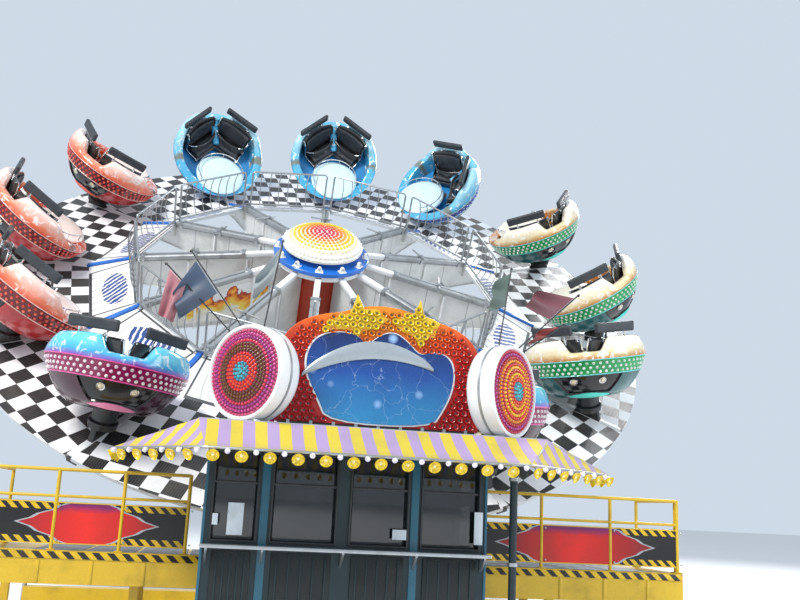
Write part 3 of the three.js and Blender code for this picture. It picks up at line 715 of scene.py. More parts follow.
# %% [markdown]
# ## Blue beams, rim and rail
# Beside each floor plate the top of a blue beam shows as a stripe that runs out along the spoke, and
# a white strip covers the seam beyond it. The guard rail round the floor plates has bowed bars:
# each leans out in an arch between the two rails. A curve object with a bevel could give the same
# tubes. A round section carried along a formula's path keeps them exact and closed, for the bars
# and the rails alike.

# %% Beams between the sectors
def on_deck(r, rise=0.0):
    """The point of the disc's top over a spoke at radius r, raised a little."""
    edges = np.array([FLOOR_IN, FLOOR_OUT, DECK_OUT]).T
    near = np.interp(r, *edges)
    return vectors(np.asarray(r, float), 0 * np.asarray(r, float), near + rise)


beam = swept(on_deck([3.62, 3.8, 4.3, 4.76], 0.004), rounded(0.094, 0.07, 0.012))
cover = swept(on_deck([4.76, 5.4, 6.2, 6.86], -0.006), rounded(0.132, 0.02, 0.006), finish=1)
spokes = [spoke_frame(k) for k in range(SPOKES)]
middles = [spoke_frame(k, HALF) for k in range(SPOKES)]
piece("spoke_beams", repeated(together(beam, cover), spokes), "disc", [BLUE, WHITE])

# %% Guard rail
RAIL_X = FLOOR_IN[0] * cos(HALF) + 0.03
RAIL_HIGH, RAIL_SILL = 0.95, 0.1
RAIL_CORNER = RAIL_X * tan(HALF)
RAIL_HALF = RAIL_CORNER - SEAM / cos(HALF) - 0.03
BARS = 7
BOW = 0.13


def bowed_bar(y):
    """A bar from the sill to the top rail: x = X + bow sin(pi t)^0.8, and z straight up in t."""
    t = np.linspace(0, 1, 13)
    lean = BOW * np.sin(pi * t) ** 0.8
    rise = RAIL_SILL + (RAIL_HIGH - 0.02 - RAIL_SILL) * t
    return tube(vectors(RAIL_X + lean, y, rise), 0.011, 6, up=(0, 1, 0))


def rail_panel():
    """Two posts, a top rail that turns down into them, a sill, bowed bars and foot plates."""
    y, top = RAIL_HALF, RAIL_HIGH - 0.02
    bars = [bowed_bar(v) for v in np.linspace(-y, y, BARS + 2)[1:-1]]
    a = np.linspace(0, pi / 2, 5)
    corner = 0.06 * vectors(1 - np.cos(a), np.sin(a))
    left = vectors(RAIL_X, -y + corner[:, 0], top - 0.06 + corner[:, 1])
    right = (left * [1, -1, 1])[::-1]
    hoop = np.concatenate([[[RAIL_X, -y, 0.0]], left, right, [[RAIL_X, y, 0.0]]])
    sill = bar((RAIL_X, -RAIL_CORNER, RAIL_SILL), (RAIL_X, RAIL_CORNER, RAIL_SILL), 0.034, 0.034)
    foot = turned([(0, 0.0), (0.05, 0.0), (0.05, 0.012), (0.026, 0.02), (0.024, 0.06), (0, 0.06)], 12)
    return together(*bars, tube(hoop, 0.021, 10, up=(1, 0, 0)), sill, at(foot, RAIL_X, -y, 0),
                    at(foot, RAIL_X, y, 0))


piece("hub_rail", repeated(rail_panel(), middles), "disc", [STEEL], ["guard_rail"])

# %% [markdown]
# ## Arms, hub ring and lamp dome
# Each arm is a short white link from the hub ring and then a steel tube with two grooves, held by
# clamps. The grooves could be cut out of a plain tube; drawing the section with them once and
# carrying it along the arm leaves clean edges. The hub ring has twelve white brackets, and the dome
# over it holds rows of lamp caps that change from white at the rim through yellow and orange to
# pink in the middle.

# %% Arms
ARM_ROOT, ARM_END = np.array([0.93, 0, 0.555]), np.array([3.76, 0, 0.02])


def on_arm(r, rise=0.0):
    """The point of an arm's centre line at radius r."""
    t = (np.asarray(r, float) - ARM_ROOT[0]) / (ARM_END[0] - ARM_ROOT[0])
    return ARM_ROOT + np.multiply.outer(t, ARM_END - ARM_ROOT) + [0, 0, rise]


def grooved(width, depth, groove, cut):
    """A tube's outline with a groove along its top and its bottom."""
    w, d, g = width / 2, depth / 2, groove / 2
    half = [(w, -d + 0.02), (w, d - 0.02), (w - 0.02, d), (g + 0.01, d), (g, d - cut), (-g, d - cut),
            (-g - 0.01, d), (-w + 0.02, d), (-w, d - 0.02)]
    return np.array(half + [(-x, -y) for x, y in half[2:-1]] + [(-w, -d + 0.02)])


def arm():
    """The link, the grooved tube, its clamps and a short cross bar."""
    link = swept(on_arm(np.array([0.93, 1.0, 1.6, 1.66])), rounded(0.13, 0.1, 0.02), finish=0)
    channel = swept(on_arm(np.linspace(1.55, 3.76, 4)), grooved(0.18, 0.12, 0.03, 0.035), finish=1)
    shapes = [link, channel]
    for r in (1.58, 2.55, 3.62):
        clamp = np.array([r - 0.035, r + 0.035])
        shapes.append(swept(on_arm(clamp), rounded(0.2, 0.145, 0.02), finish=2))
    cross = on_arm(2.55, 0.085)
    shapes.append(tube([cross + [0, -0.16, 0], cross + [0, 0.34, 0]], 0.018, 8, finish=2))
    shapes.append(bar(cross + [0, 0, -0.02], cross + [0, 0, 0.03], 0.07, 0.09, (1, 0, 0), finish=2))
    eye = turned([(0, -0.06), (0.05, -0.06), (0.055, -0.05), (0.055, 0.05), (0.05, 0.06), (0, 0.06)],
                 14, finish=2)
    shapes.append(moved(eye, (turn("X", pi / 2), ARM_ROOT)))
    return together(*shapes)


ARM_GREY = painted("arm_grey", "#a9adb0", 0.38, metallic=0.5, dirt="#55544f", scale=4, amount=0.55)
collar = turned([(0.66, 0.52), (0.93, 0.52), (0.94, 0.53), (0.94, 0.635), (0.66, 0.635),
                 (0.66, 0.52)], 48)
piece("hub_arms", together(moved(collar, DISC), repeated(arm(), spokes)), "disc",
      [WHITE, ARM_GREY, STEEL], ["spoke_arms"])

# %% Hub ring
RING_R, RING_LOW, RING_TOP = 0.99, 0.64, 0.73
LUG_R = 0.91  # where the brackets stand
ring_disc = turned([(0, RING_LOW), (RING_R - 0.012, RING_LOW), (RING_R, RING_LOW + 0.012),
                    (RING_R, RING_TOP - 0.012), (RING_R - 0.012, RING_TOP), (0.56, RING_TOP),
                    (0.55, RING_TOP + 0.004), (0, RING_TOP + 0.004)], 96)


def bracket():
    """A lug with a broad foot and a narrow eye: its outline leans in, and a bolt goes through it."""
    side = [(-0.07, 0), (0.07, 0), (0.06, 0.03), (0.03, 0.1), (0, 0.115), (-0.03, 0.1), (-0.06, 0.03)]
    upright = turn("Z", pi / 2) @ turn("X", pi / 2)
    cheek = moved(plate(side, -0.03, 0.03, 0.006, finish=1), (upright, ORIGIN))
    foot = block(-0.065, 0.065, -0.08, 0.08, 0, 0.016, 0.006, finish=1)
    bolt = turned([(0, -0.045), (0.018, -0.045), (0.018, 0.045), (0, 0.045)], 8, finish=2)
    bolt = moved(bolt, (turn("Y", pi / 2), [0, 0, 0.07]))
    return at(together(cheek, foot, bolt), LUG_R, 0, RING_TOP)


piece("hub_disc", together(moved(ring_disc, DISC), repeated(bracket(), spokes)), "disc",
      [BLUE, WHITE, STEEL], ["hub_ring"])

# %% Lamp caps
def lamp_material(name, glow, roughness=0.18):
    """Moulded plastic caps: the tint of each cap, deeper in places, with a faint inner light; on the
    sign's reflector cups that glow is painted light.
    """
    made, tree, shader = material(name)
    tint = node(tree, "ShaderNodeAttribute", attribute_name="tint").outputs["Color"]
    cloudy = noise(tree, 40.0, 2.0)
    deep = blend(tree, 1.0, tint, "#8c8c8c", "MULTIPLY")
    feed(tree, shader.inputs, {"Base Color": blend(tree, cloudy.ramp(0.3, 0.7), deep, tint),
                        "Emission Color": tint, "Emission Strength": glow, "Roughness": roughness,
                        "Coat Weight": 0.6, "Coat Roughness": 0.05})
    bumped(tree, shader, cloudy, 0.001, 0.3)
    return made


LAMPS = lamp_material("lamp_caps", 0.28)


def lamp_rings(radii, pitch, height_at, slope_at, cap, colour_at):
    """Rings of caps round Z, 2 pi r / pitch on each, every other ring turned by half a step."""
    origins, normals, tints = [], [], []
    for i, r in enumerate(radii):
        count = max(1, int(round(2 * pi * r / pitch)))
        a = (np.arange(count) + 0.5 * (i % 2)) * 2 * pi / count
        origins.append(vectors(r * np.cos(a), r * np.sin(a), height_at(r)))
        tilt = slope_at(r)
        normals.append(np.stack([sin(tilt) * np.cos(a), sin(tilt) * np.sin(a),
                                 np.full(count, cos(tilt))], -1))
        tints.append(np.tile(colour_at(i), (count, 1)))
    origins, normals = np.concatenate(origins), np.concatenate(normals)
    hint = np.where(np.abs(normals[:, 2:]) > 0.99, [[1.0, 0, 0]], [[0, 0, 1.0]])
    return copies(cap, origins, facing(normals, hint), np.concatenate(tints))

print("Lamp glow:", LAMPS.node_tree.nodes["Principled BSDF"].inputs["Emission Strength"].default_value)

# %% Lamp dome
DOME_R, DOME_FOOT, DOME_RISE = 0.775, 0.925, 0.27
DOME_STEPS = 16
DOME_PITCH = 0.086  # between caps
b = np.linspace(0, pi / 2, DOME_STEPS)
DOME_PROFILE = [(0, 0.7303), (0.5, 0.7303), (0.5, 0.84), (0.79, 0.845), (0.818, 0.86), (0.82, 0.9),
                (0.8, 0.922), *zip(DOME_R * np.cos(b), DOME_FOOT + DOME_RISE * np.sin(b))]
DOME_COLOURS = [rgb(c) for c in ("#ffffff", "#fbf3c8", "#f7d84a", "#f5c81f", "#f5ac1d", "#f0821f",
                                 "#e8502b", "#e0304a", "#d92a5e")]


def dome_height(r):
    """Height of the dome: foot + rise * sqrt(1 - (r / R)^2)."""
    return DOME_FOOT + DOME_RISE * sqrt(max(0.0, 1 - (r / DOME_R) ** 2))


def dome_slope(r):
    """Lean of the dome's normal from the axis."""
    s = min(0.985, r / DOME_R)
    return atan(DOME_RISE / DOME_R * s / sqrt(1 - s * s))


dome_radii = np.linspace(0.762, 0.03, len(DOME_COLOURS) + 1)
caps = lamp_rings(dome_radii, DOME_PITCH, dome_height, dome_slope, dome(0.034, 0.036),
                  lambda i: DOME_COLOURS[min(i, len(DOME_COLOURS) - 1)])
rim_caps = lamp_rings([0.805], DOME_PITCH, lambda r: 0.915, lambda r: radians(62),
                      dome(0.03, 0.03), lambda i: rgb("#ffffff"))
DOME_BASE = painted("dome_base", "#f4f1e4", 0.3, coat=0.4, dirt="#a59c80", scale=5)
dome_body = turned(DOME_PROFILE, 72)
caps["finish"][:] = 1
rim_caps["finish"][:] = 1
piece("hub_lamp_dome", moved(together(dome_body, caps, rim_caps), DISC), "disc",
      [DOME_BASE, LAMPS], ["hub_dome"])

# %% [markdown]
# ## Tubs
# Every tub is the same moulded shell in one of four colours. Its bowl follows the curve
# r(z) = 0.43 + 0.57 (z / 0.425) ^ 0.42 and has a sunken dark panel with two faceted lamps. Above it
# runs a band with three rows of bulbs, and then the painted body, whose height rises behind the two
# benches and falls to nothing at the round cowl. A black foot carries it on its spindle. Sculpting
# would be freer, but a curve over the angle gives the same smooth shell, and it is made once and
# set down twelve times.

# %% Curves of bowl and body
BOWL_TOP = 0.425
LIP_R, LIP_Z = 1.125, 0.70
AROUND = 144  # steps round the body
BODY_ANGLES = [0, 14, 26, 66, 92, 112, 135, 180]
BODY_HEIGHTS = [0.13, 0.13, 0.37, 0.34, 0.12, 0.06, 0.008, 0.008]


def bowl_point(angle, s, rise=0.0):
    """The bowl at a share s of its curve, moved out along its normal.

    The curve is z = 0.425 s^2 and r = 0.43 + 0.57 s^0.84.
    """
    angle, s = np.broadcast_arrays(np.asarray(angle, float), np.asarray(s, float))
    r, z = 0.43 + 0.57 * s ** 0.84, BOWL_TOP * s ** 2
    slope = unit(vectors(2 * BOWL_TOP * s, -0.57 * 0.84 * np.maximum(s, 0.02) ** -0.16))
    r, z = r + rise * slope[..., 0], z + rise * slope[..., 1]
    return vectors(r * np.cos(angle), r * np.sin(angle), z)


def body_height(angle):
    """Height of the painted body over the lip: smooth steps 3t^2 - 2t^3 between the key angles."""
    a = np.abs((np.degrees(angle) + 180) % 360 - 180)
    i = np.clip(np.searchsorted(BODY_ANGLES, a, side="right") - 1, 0, len(BODY_ANGLES) - 2)
    low, high = np.take(BODY_ANGLES, i), np.take(BODY_ANGLES, i + 1)
    t = (a - low) / (high - low)
    start, end = np.take(BODY_HEIGHTS, i), np.take(BODY_HEIGHTS, i + 1)
    return start + (end - start) * t * t * (3 - 2 * t)

print("Body height behind the benches:", round(float(body_height(radians(26))), 3))

# %% Bowl with its sunken panel
def bowl():
    """The bowl: the grid's columns lean in, so that two of them are the sunken panel's sides."""
    s = np.concatenate([[0, 0.02], np.linspace(0.08, 0.45, 6), [0.462], np.linspace(0.5, 0.94, 8),
                        [0.965, 0.98, 1.0]])
    sunk_rows = (s > 0.455) & (s < 0.97)
    half = 0.42 + 0.26 * np.clip((s - 0.3) / 0.7, 0, 1) ** 0.7
    inner = np.concatenate([[-1, -0.97], np.linspace(-0.85, 0.85, 18), [0.97, 1]])
    outer = np.linspace(0, 1, 72)[1:]
    angle = np.concatenate([half[:, None] * inner,
                            half[:, None] + outer * (2 * pi - 2 * half[:, None])], 1)
    sunk = np.zeros(angle.shape, bool)
    sunk[:, 1:len(inner) - 1] = sunk_rows[:, None]
    share = np.repeat(s[:, None], angle.shape[1], 1)
    points = bowl_point(angle, share, np.where(sunk, -0.03, 0.0))
    shape = surface(points, vectors(angle, share))
    corner = sunk[:-1, :-1] | sunk[:-1, 1:] | sunk[1:, 1:] | sunk[1:, :-1]
    shape["finish"] = np.where(corner.reshape(-1), 3, 1)
    ring = points[[0, -1]]
    under = np.stack([ring[0] * [0, 0, 1], ring[0]])
    over = np.stack([ring[1], ring[1] * [0.86, 0.86, 1], ring[1] * [0, 0, 1] + [0, 0, -0.15]])
    return together(surface(under, finish=1), shape, surface(over, finish=1))

# %% Painted body
def body_ring():
    """The closed ring of the painted body. Its UV is (angle, height over the lip)."""
    angle = np.linspace(-pi, pi, AROUND + 1)
    level = 0 * angle
    height = body_height(angle)
    s = np.linspace(0, 1, 9)[1:]
    t = np.linspace(0, 1, 6)[1:]
    rows = [(1.10, level - 0.012), (LIP_R, level - 0.004), (LIP_R + 0.006, level + 0.006)]
    rows += [(LIP_R + 0.004 - 0.125 * x ** 2.5, 0.008 + height * (1 - (1 - x) ** 1.6)) for x in s]
    rows += [(1.004 - 0.085 * x, 0.008 + height * (1 - 0.10 * x * x) - 0.010 * x ** 3) for x in t]
    rows += [(0.90, 0.35 * height - 0.02), (0.89, level - 0.10), (0.85, level - 0.42),
             (0.86, level - 0.43), (0.93, level - 0.29), (1.02, level - 0.16), rows[0]]
    points = np.stack([np.stack([r * np.cos(angle), r * np.sin(angle), LIP_Z + z], -1)
                       for r, z in rows])
    over = points[..., 2] - LIP_Z
    return surface(points, vectors(np.broadcast_to(angle, over.shape), over))

# %% Crescent, lamps and cowl
LAMP_ANGLE, LAMP_SHARE = 0.28, 0.85  # where a lamp sits on the bowl
COWL_R = 0.59
COWL_SINK = radians(12)
COWL_EDGE = np.array([-1.12, 0, 0.755])


def crescent():
    """The moulded lip under the panel: half its height is 0.13 (1 - a^2), and it swells by 0.045."""
    a, b = np.meshgrid(np.linspace(-1, 1, 25), np.linspace(-1, 1, 9), indexing="ij")
    s = 0.335 + b * 0.135 * (1 - a * a)
    swell = (1 - b * b) * np.sqrt(np.clip(1 - a * a, 0, 1))
    front = bowl_point(0.6 * a, s, -0.004 + 0.045 * swell)
    rear = bowl_point(0.6 * a, s, -0.004 - 0.02 * swell)
    return together(surface(front, finish=4), surface(rear[::-1], finish=4))


def panel_lamp(side, shape, rise):
    """A lamp's part on the sunken panel, its axis along the bowl's normal."""
    foot = bowl_point(side * LAMP_ANGLE, LAMP_SHARE)
    outward = facing(bowl_point(side * LAMP_ANGLE, LAMP_SHARE, 1.0) - foot)
    return moved(shape, (outward, bowl_point(side * LAMP_ANGLE, LAMP_SHARE, rise)))


def cowl_shape():
    """The round cowl with the half rail on it, carried on its short neck."""
    b = np.linspace(0, pi / 2, 7)
    dish = turned([(0, 0), (0.572, 0), (COWL_R, 0.013), (COWL_R, 0.03),
                   *zip(0.585 * np.cos(b), 0.036 + 0.072 * np.sin(b))], 60, finish=7)
    neck = turned([(0, 0.27), (0.24, 0.27), (0.225, 0.45), (0.245, 0.655), (0, 0.655)], 28, finish=7)
    sweep = np.radians(np.linspace(-112, 112, 29))
    rail = vectors(0.56 * np.cos(sweep), 0.56 * np.sin(sweep), 0.178)
    feet = rail[[0, 0, -1, -1]] * [1, 1, 0] + [[0, 0, z] for z in (0.043, 0.138, 0.138, 0.043)]
    hoop = tube(np.concatenate([feet[:2], rail, feet[2:]]), 0.013, 8, up=(0.5, 0, 1), finish=6)
    posts = [tube([p * [1, 1, 0] + [0, 0, 0.038], p], 0.008, 6, up=(1, 0, 0), finish=6)
             for p in rail[4:-4:4]]
    on_cowl = (turn("Y", COWL_SINK), COWL_EDGE + turn("Y", COWL_SINK) @ [COWL_R, 0, 0])
    return together(moved(together(dish, hoop, *posts), on_cowl), at(neck, -0.40, 0, 0))

print("Cowl triangles:", 2 * len(cowl_shape()["quads"]))

# %% Whole shell and its bulbs
BAND = np.array([[1.0, 0.425], [1.11, 0.68]])
BULBS_ROUND = 58


def shell_shape():
    """Bowl, band, body, trim lines, crescent, lamp rims, cowl, tread plate, saddle and foot."""
    band = turned([(1.0, 0.425), (1.036, 0.505), (1.073, 0.595), (1.11, 0.68), (1.112, 0.692),
                   (1.05, 0.69), (0.95, 0.42), (1.0, 0.425)], AROUND // 2, finish=2)
    angle = np.linspace(0, 2 * pi, 73)[:-1]
    ring = vectors(np.cos(angle), np.sin(angle), 0 * angle)
    trims = [tube(ring * r + [0, 0, z], size, 6, loop=True, finish=5)
             for r, z, size in ((1.119, 0.692, 0.011), (1.003, 0.428, 0.010))]
    rim = turned([(0, 0), (0.068, 0), (0.072, 0.012), (0.066, 0.026), (0.054, 0.022), (0.05, 0.008),
                  (0, 0.008)], 20, finish=6)
    lamps = [panel_lamp(side, rim, -0.034) for side in (-1, 1)]
    tread = turned([(0, 0.262), (0.7, 0.262), (0.7, 0.285), (0.69, 0.29), (0, 0.29)], 40, finish=8)
    saddle = swept(np.array([[0.34, 0, 0.6], [0.6, 0, 0.64], [0.84, 0, 0.7], [1.0, 0, 0.77]]),
                   rounded(0.17, 0.12, 0.05, 3), finish=0)
    foot = turned([(0, 0.001), (0.24, 0.001), (0.24, 0.05), (0.2, 0.08), (0.2, 0.2), (0.24, 0.33),
                   (0, 0.33)], 32, finish=9)
    upright = turn("Y", -SHELL_TILT).T
    return together(bowl(), band, body_ring(), *trims, crescent(), *lamps, cowl_shape(), tread, saddle,
                    moved(foot, (upright, -upright @ SHELL_PLACE)))


def bulb_rows():
    """Three staggered rows of caps along the band, and the two faceted lenses of the panel."""
    origins = []
    for i, t in enumerate((0.2, 0.5, 0.8)):
        a = (np.arange(BULBS_ROUND) + 0.5 * (i % 2)) * 2 * pi / BULBS_ROUND
        r, z = BAND[0] + t * (BAND[1] - BAND[0])
        origins.append(vectors(r * np.cos(a), r * np.sin(a), z))
    origins = np.concatenate(origins)
    along = unit(BAND[1] - BAND[0])
    outward = unit(origins * [1, 1, 0])
    normals = outward * along[1] - np.array([0, 0, along[0]])
    caps = copies(dome(0.029, 0.026, 8, 2), origins, facing(normals))
    lens = turned([(0, 0.008), (0.048, 0.01), (0.036, 0.03), (0.014, 0.04), (0, 0.04)], 10,
                  rgb("#f3e3c0"))
    return caps, together(*[panel_lamp(side, lens, -0.03) for side in (-1, 1)]), len(origins)


shell = shell_shape()
bulbs, lenses, bulb_count = bulb_rows()
print("Bulbs on a tub:", bulb_count)

# %% Body paint
clouds, given, result = new_group(
    "Airbrushed clouds",
    dict(Low="Color", Middle="Color", Top="Color", Patch="Color", Notch="Color", Height="Float",
         Angle="Float", Rise="Float"),
    dict(Colour="Color"),
)
wide, near = noise(clouds, 2.1, 4.0, Distortion=0.7), noise(clouds, 6.5, 5.0, Distortion=1.1)
level = ((wide - 0.5) * 0.16 + given["Height"]) / given["Rise"]
colour = blend(clouds, level.ramp(0.0, 1.0), given["Low"], given["Middle"])
colour = blend(clouds, (level + near * 1.2).ramp(1.25, 2.9), colour, given["Top"])
colour = blend(clouds, near.ramp(0.56, 0.68) * 0.85, colour, given["Patch"])
# Near 98 degrees to each side the Notch colour is painted in: shade of the notch openings in the rim, and
# on the blue tubs a brown patch of paint as well.
beside = 1.0 - abs(abs(Value(clouds, given["Angle"])) - 1.72) * 4.5
notch = (beside + wide).ramp(0.9, 1.3) * 0.8
feed(clouds, result.inputs, {"Colour": blend(clouds, notch, colour, given["Notch"])})


def body_paint(name, low, middle, top, patch, notch, rise):
    """Airbrushed body: soft clouds between three colours that change with the height over the lip."""
    made, tree, shader = material(name)
    u, v = surface_uv(tree)
    out = use(tree, clouds, Low=low, Middle=middle, Top=top, Patch=patch, Notch=notch, Height=v,
              Angle=u, Rise=rise)
    weathered(tree, shader, out["Colour"], "#5a544b", 2.0, 0.2, 0.2, distance=0.001, strength=0.15)
    feed(tree, shader.inputs, {"Coat Weight": 0.8, "Coat Roughness": 0.06})
    return made


print("Nodes of the clouds:", len(clouds.nodes))

# %% Paints of the four tub colours
def gloss(name, colour, roughness):
    """Deep gloss on glass fibre."""
    return painted(name, colour, roughness, coat=0.3, dirt="#1c1917", scale=2.5, amount=0.3)


PANEL_BLACK = gloss("panel_black", "#0c0b0e", 0.12)
TREAD_GREY = painted("tread_plate", "#5d6266", 0.5, metallic=0.6, dirt="#2b2a28", scale=9)
# The fifth body colour of each style is that notch patch: painted shade of the rim's notch openings, with
# brown paint as well on the blue tubs.
TUB_STYLES = {
    "red": dict(
        body=("#e4522c", "#f0906e", "#fbe3dc", "#fdf4f0", "#6a2a1c", 0.15), bowl="#b5262a",
        band="#6e1114", crescent="#e86a5a", trim="#f4c4b6",
        cowl=("#f08a6c", "#f6b79f", "#fbe6dd"), bulb=("#d9262a", "#ff7a68")),
    "blue": dict(
        body=("#3fa9d8", "#62bfe4", "#a9ddf0", "#f4fbff", "#7a6a3a", 0.14), bowl="#2f8fd0",
        band="#14408a", crescent="#9fdcf2", trim="#e6f4fb",
        cowl=("#8bd9f0", "#a3e2f4", "#d5f2fa"), bulb=("#1c2f8c", "#5f8df0")),
    "green": dict(
        body=("#c47a2a", "#ecd9a4", "#faf3e2", "#ffffff", "#a85d1d", 0.12), bowl="#0c5a5c",
        band="#0f9a55", crescent="#52dccb", trim="#7fe0dc",
        cowl=("#e0c48c", "#f0e2bd", "#faf4e4"), bulb=("#bfeecb", "#ffffff")),
    "purple": dict(
        body=("#8a3fb5", "#2f9fd8", "#5fc6e0", "#e9f2f4", "#3a2a6a", 0.09), bowl="#3f0d2a",
        band="#8c1050", crescent="#f08fb4", trim="#f05aa5",
        cowl=("#2f9fd8", "#5fc0e2", "#d5eef6"), bulb=("#f7d7ee", "#ffffff")),
}
TUB_FINISHES = {}
for colour_name, style in TUB_STYLES.items():
    TUB_FINISHES[colour_name] = [
        body_paint(f"{colour_name}_tub_body", *style["body"]),
        gloss(f"{colour_name}_tub_bowl", style["bowl"], 0.24),
        gloss(f"{colour_name}_tub_band", style["band"], 0.2),
        PANEL_BLACK,
        # The lip is a lighter tone of the bowl's colour: a painted highlight along the moulded lip.
        gloss(f"{colour_name}_tub_lip", style["crescent"], 0.18),
        gloss(f"{colour_name}_tub_trim", style["trim"], 0.22),
        CHROME,
        body_paint(f"{colour_name}_tub_cowl", *style["cowl"], style["cowl"][2], style["cowl"][0], 0.10),
        TREAD_GREY,
        BLACK,
    ]
print("Tub paints:", sum(len(finishes) for finishes in TUB_FINISHES.values()))

# %% Tub shells and bulbs
TUB_BULBS = lamp_material("tub_bulbs", 0.15, 0.12)
colour_of = [("red", "blue", "green", "purple")[k // 3] for k in range(SPOKES)]
tub_frames = [tub_frame(k) for k in range(SPOKES)]
for k in range(SPOKES):
    name, style = f"tub_{k + 1:02d}", TUB_STYLES[colour_of[k]]
    piece(f"{name}_body", moved(shell, tub_frames[k]), name, TUB_FINISHES[colour_of[k]],
          [f"{name}_shell"], sharp=42)
    dark, light = (np.array(rgb(c)) for c in style["bulb"])
    share = random.random((bulb_count, 1))
    tint = np.repeat(dark + share * (light - dark), len(bulbs["points"]) // bulb_count, axis=0)
    piece(f"{name}_bulbs", moved(together({**bulbs, "tint": tint}, lenses), tub_frames[k]), name,
          [TUB_BULBS])

# %% [markdown]
# ## Seats
# Two moulded seat shells stand side by side on the tread plate, each with a chrome edge, a padded
# bench and back, a lap bar and a padded rest behind the heads. The padding could be a rounded box;
# a short cloth simulation blows it up a little instead, once for each kind of cushion, because the
# held seams then draw in as they do on real upholstery. The swollen form is then copied.

# %% Seat shells
BENCH_TURN = radians(38)
SEAT_SIDE = 0.45  # half the width of a seat
SEAT_SECTION = np.array([
    (0.235, 0.40), (0.24, 0.47), (0.30, 0.50), (0.55, 0.47), (0.62, 0.52), (0.66, 0.62), (0.71, 0.76),
    (0.76, 0.90), (0.82, 1.06), (0.86, 1.07), (0.885, 1.03), (0.84, 0.86), (0.80, 0.70), (0.72, 0.45),
    (0.68, 0.30), (0.30, 0.28)])


def seat_bend(y, z):
    """How far a seat's back curls towards its sides: -0.11 (y / 0.45)^2, growing with height."""
    return -0.11 * (y / SEAT_SIDE) ** 2 * np.clip((z - 0.5) / 0.4, 0, 1)


def seat_shell():
    """A section (x, z) carried along y, its back curled in at the sides, with closed ends."""
    y = np.linspace(-SEAT_SIDE, SEAT_SIDE, 11)
    section = np.vstack([SEAT_SECTION, SEAT_SECTION[:1]])
    x, z = (np.broadcast_to(v, (len(y), len(section))) for v in section.T)
    side = np.broadcast_to(y[:, None], x.shape)
    rows = vectors(x + seat_bend(side, z), side, z)
    middle = rows.mean(1, keepdims=True)
    rows = np.concatenate([0 * rows[:1] + middle[:1], rows, 0 * rows[-1:] + middle[-1:]])
    return surface(rows)


def seat_fittings():
    """Chrome edges on both sides, the rest's two supports, and the lap bar with its sleeve."""
    edge = SEAT_SECTION[1:11]
    shapes = []
    for side in (-0.452, 0.452):
        bend = seat_bend(side, edge[:, 1])
        path = vectors(edge[:, 0] + bend, side, edge[:, 1])
        shapes.append(tube(path, 0.014, 8, up=(0, 1, 0), finish=1))
    washer = turned([(0, 0), (0.032, 0), (0.032, 0.02), (0, 0.02)], 10, finish=1)
    for side in (-0.24, 0.24):
        path = [[0.84, side, 0.98], [0.865, side, 1.06], [0.9, side, 1.16], [0.915, side, 1.24]]
        shapes.append(tube(path, 0.017, 8, up=(0, 1, 0), finish=1))
        shapes.append(moved(washer, (turn("Y", radians(20)), [0.852, side, 1.04])))
    t = np.linspace(0, pi, 13)
    lap = vectors(0.66 - 0.27 * np.sin(t), -0.43 * np.cos(t), 0.66 + 0.10 * np.sin(t))
    lap = np.concatenate([[[0.70, -0.43, 0.56]], lap, [[0.70, 0.43, 0.56]]])
    shapes.append(tube(lap, 0.017, 8, finish=1))
    shapes.append(tube(lap[4:11], 0.034, 10, finish=0))
    return together(*shapes)

print("Quads of a seat shell:", len(seat_shell()["quads"]))

# %% Box with rounded edges
def rounded_box(width, depth, height, radius, cells):
    """Six grids over a box, each point p pulled to within 'radius' of the inner box.

    With q the nearest point of the inner box, the point becomes q + radius (p - q) / |p - q|.
    """
    half = np.array([width, depth, height]) / 2
    faces = []
    for axis in range(3):
        u_axis, v_axis = (axis + 1) % 3, (axis + 2) % 3
        u, v = np.meshgrid(np.linspace(-1, 1, cells[u_axis] + 1), np.linspace(-1, 1, cells[v_axis] + 1),
                           indexing="ij")
        for side in (-1, 1):
            p = np.zeros((*u.shape, 3))
            p[..., axis], p[..., u_axis], p[..., v_axis] = side, side * u, v
            p *= half
            q = np.clip(p, -half + radius, half - radius)
            faces.append(surface(q + radius * unit(p - q), vectors(p[..., 0], p[..., 1])))
    return together(*faces)

# %% Padding by cloth
CLOTH_STEPS = 20


def blown(shape, pressure, cap, held):
    """The shape after a short cloth simulation with inner pressure; 'held' tells which points stay.

    No point moves more than 'cap'.
    """
    mesh = bpy.data.meshes.new("cloth_form")
    mesh.from_pydata(shape["points"].tolist(), [], shape["quads"].tolist())
    work = bmesh.new()
    work.from_mesh(mesh)
    bmesh.ops.remove_doubles(work, verts=work.verts, dist=1e-5)
    bmesh.ops.recalc_face_normals(work, faces=work.faces)
    work.to_mesh(mesh)
    work.free()
    form = bpy.data.objects.new("cloth_form", mesh)
    bpy.context.scene.collection.objects.link(form)
    start = np.empty(len(mesh.vertices) * 3)
    mesh.vertices.foreach_get("co", start)
    start = start.reshape(-1, 3)
    pins = form.vertex_groups.new(name="held")
    pins.add(np.nonzero(held(start))[0].tolist(), 1.0, "ADD")
    cloth = form.modifiers.new("cloth", "CLOTH")
    cloth.settings.quality = 6
    cloth.settings.mass = 0.3
    cloth.settings.use_pressure = True
    cloth.settings.uniform_pressure_force = pressure
    cloth.settings.vertex_group_mass = "held"
    cloth.settings.effector_weights.gravity = 0
    cloth.point_cache.frame_start, cloth.point_cache.frame_end = 1, CLOTH_STEPS
    for step in range(1, CLOTH_STEPS + 1):
        bpy.context.scene.frame_set(step)
    evaluated = form.evaluated_get(bpy.context.evaluated_depsgraph_get()).to_mesh()
    end = np.empty(len(start) * 3)
    evaluated.vertices.foreach_get("co", end)
    step = end.reshape(-1, 3) - start
    far = np.linalg.norm(step, axis=1, keepdims=True)
    step *= np.minimum(1, cap / np.maximum(far, 1e-9))
    nearest = np.linalg.norm(shape["points"][:, None] - start[None], axis=2).argmin(1)
    bpy.context.scene.frame_set(1)
    bpy.data.objects.remove(form)
    return {**shape, "points": shape["points"] + step[nearest]}


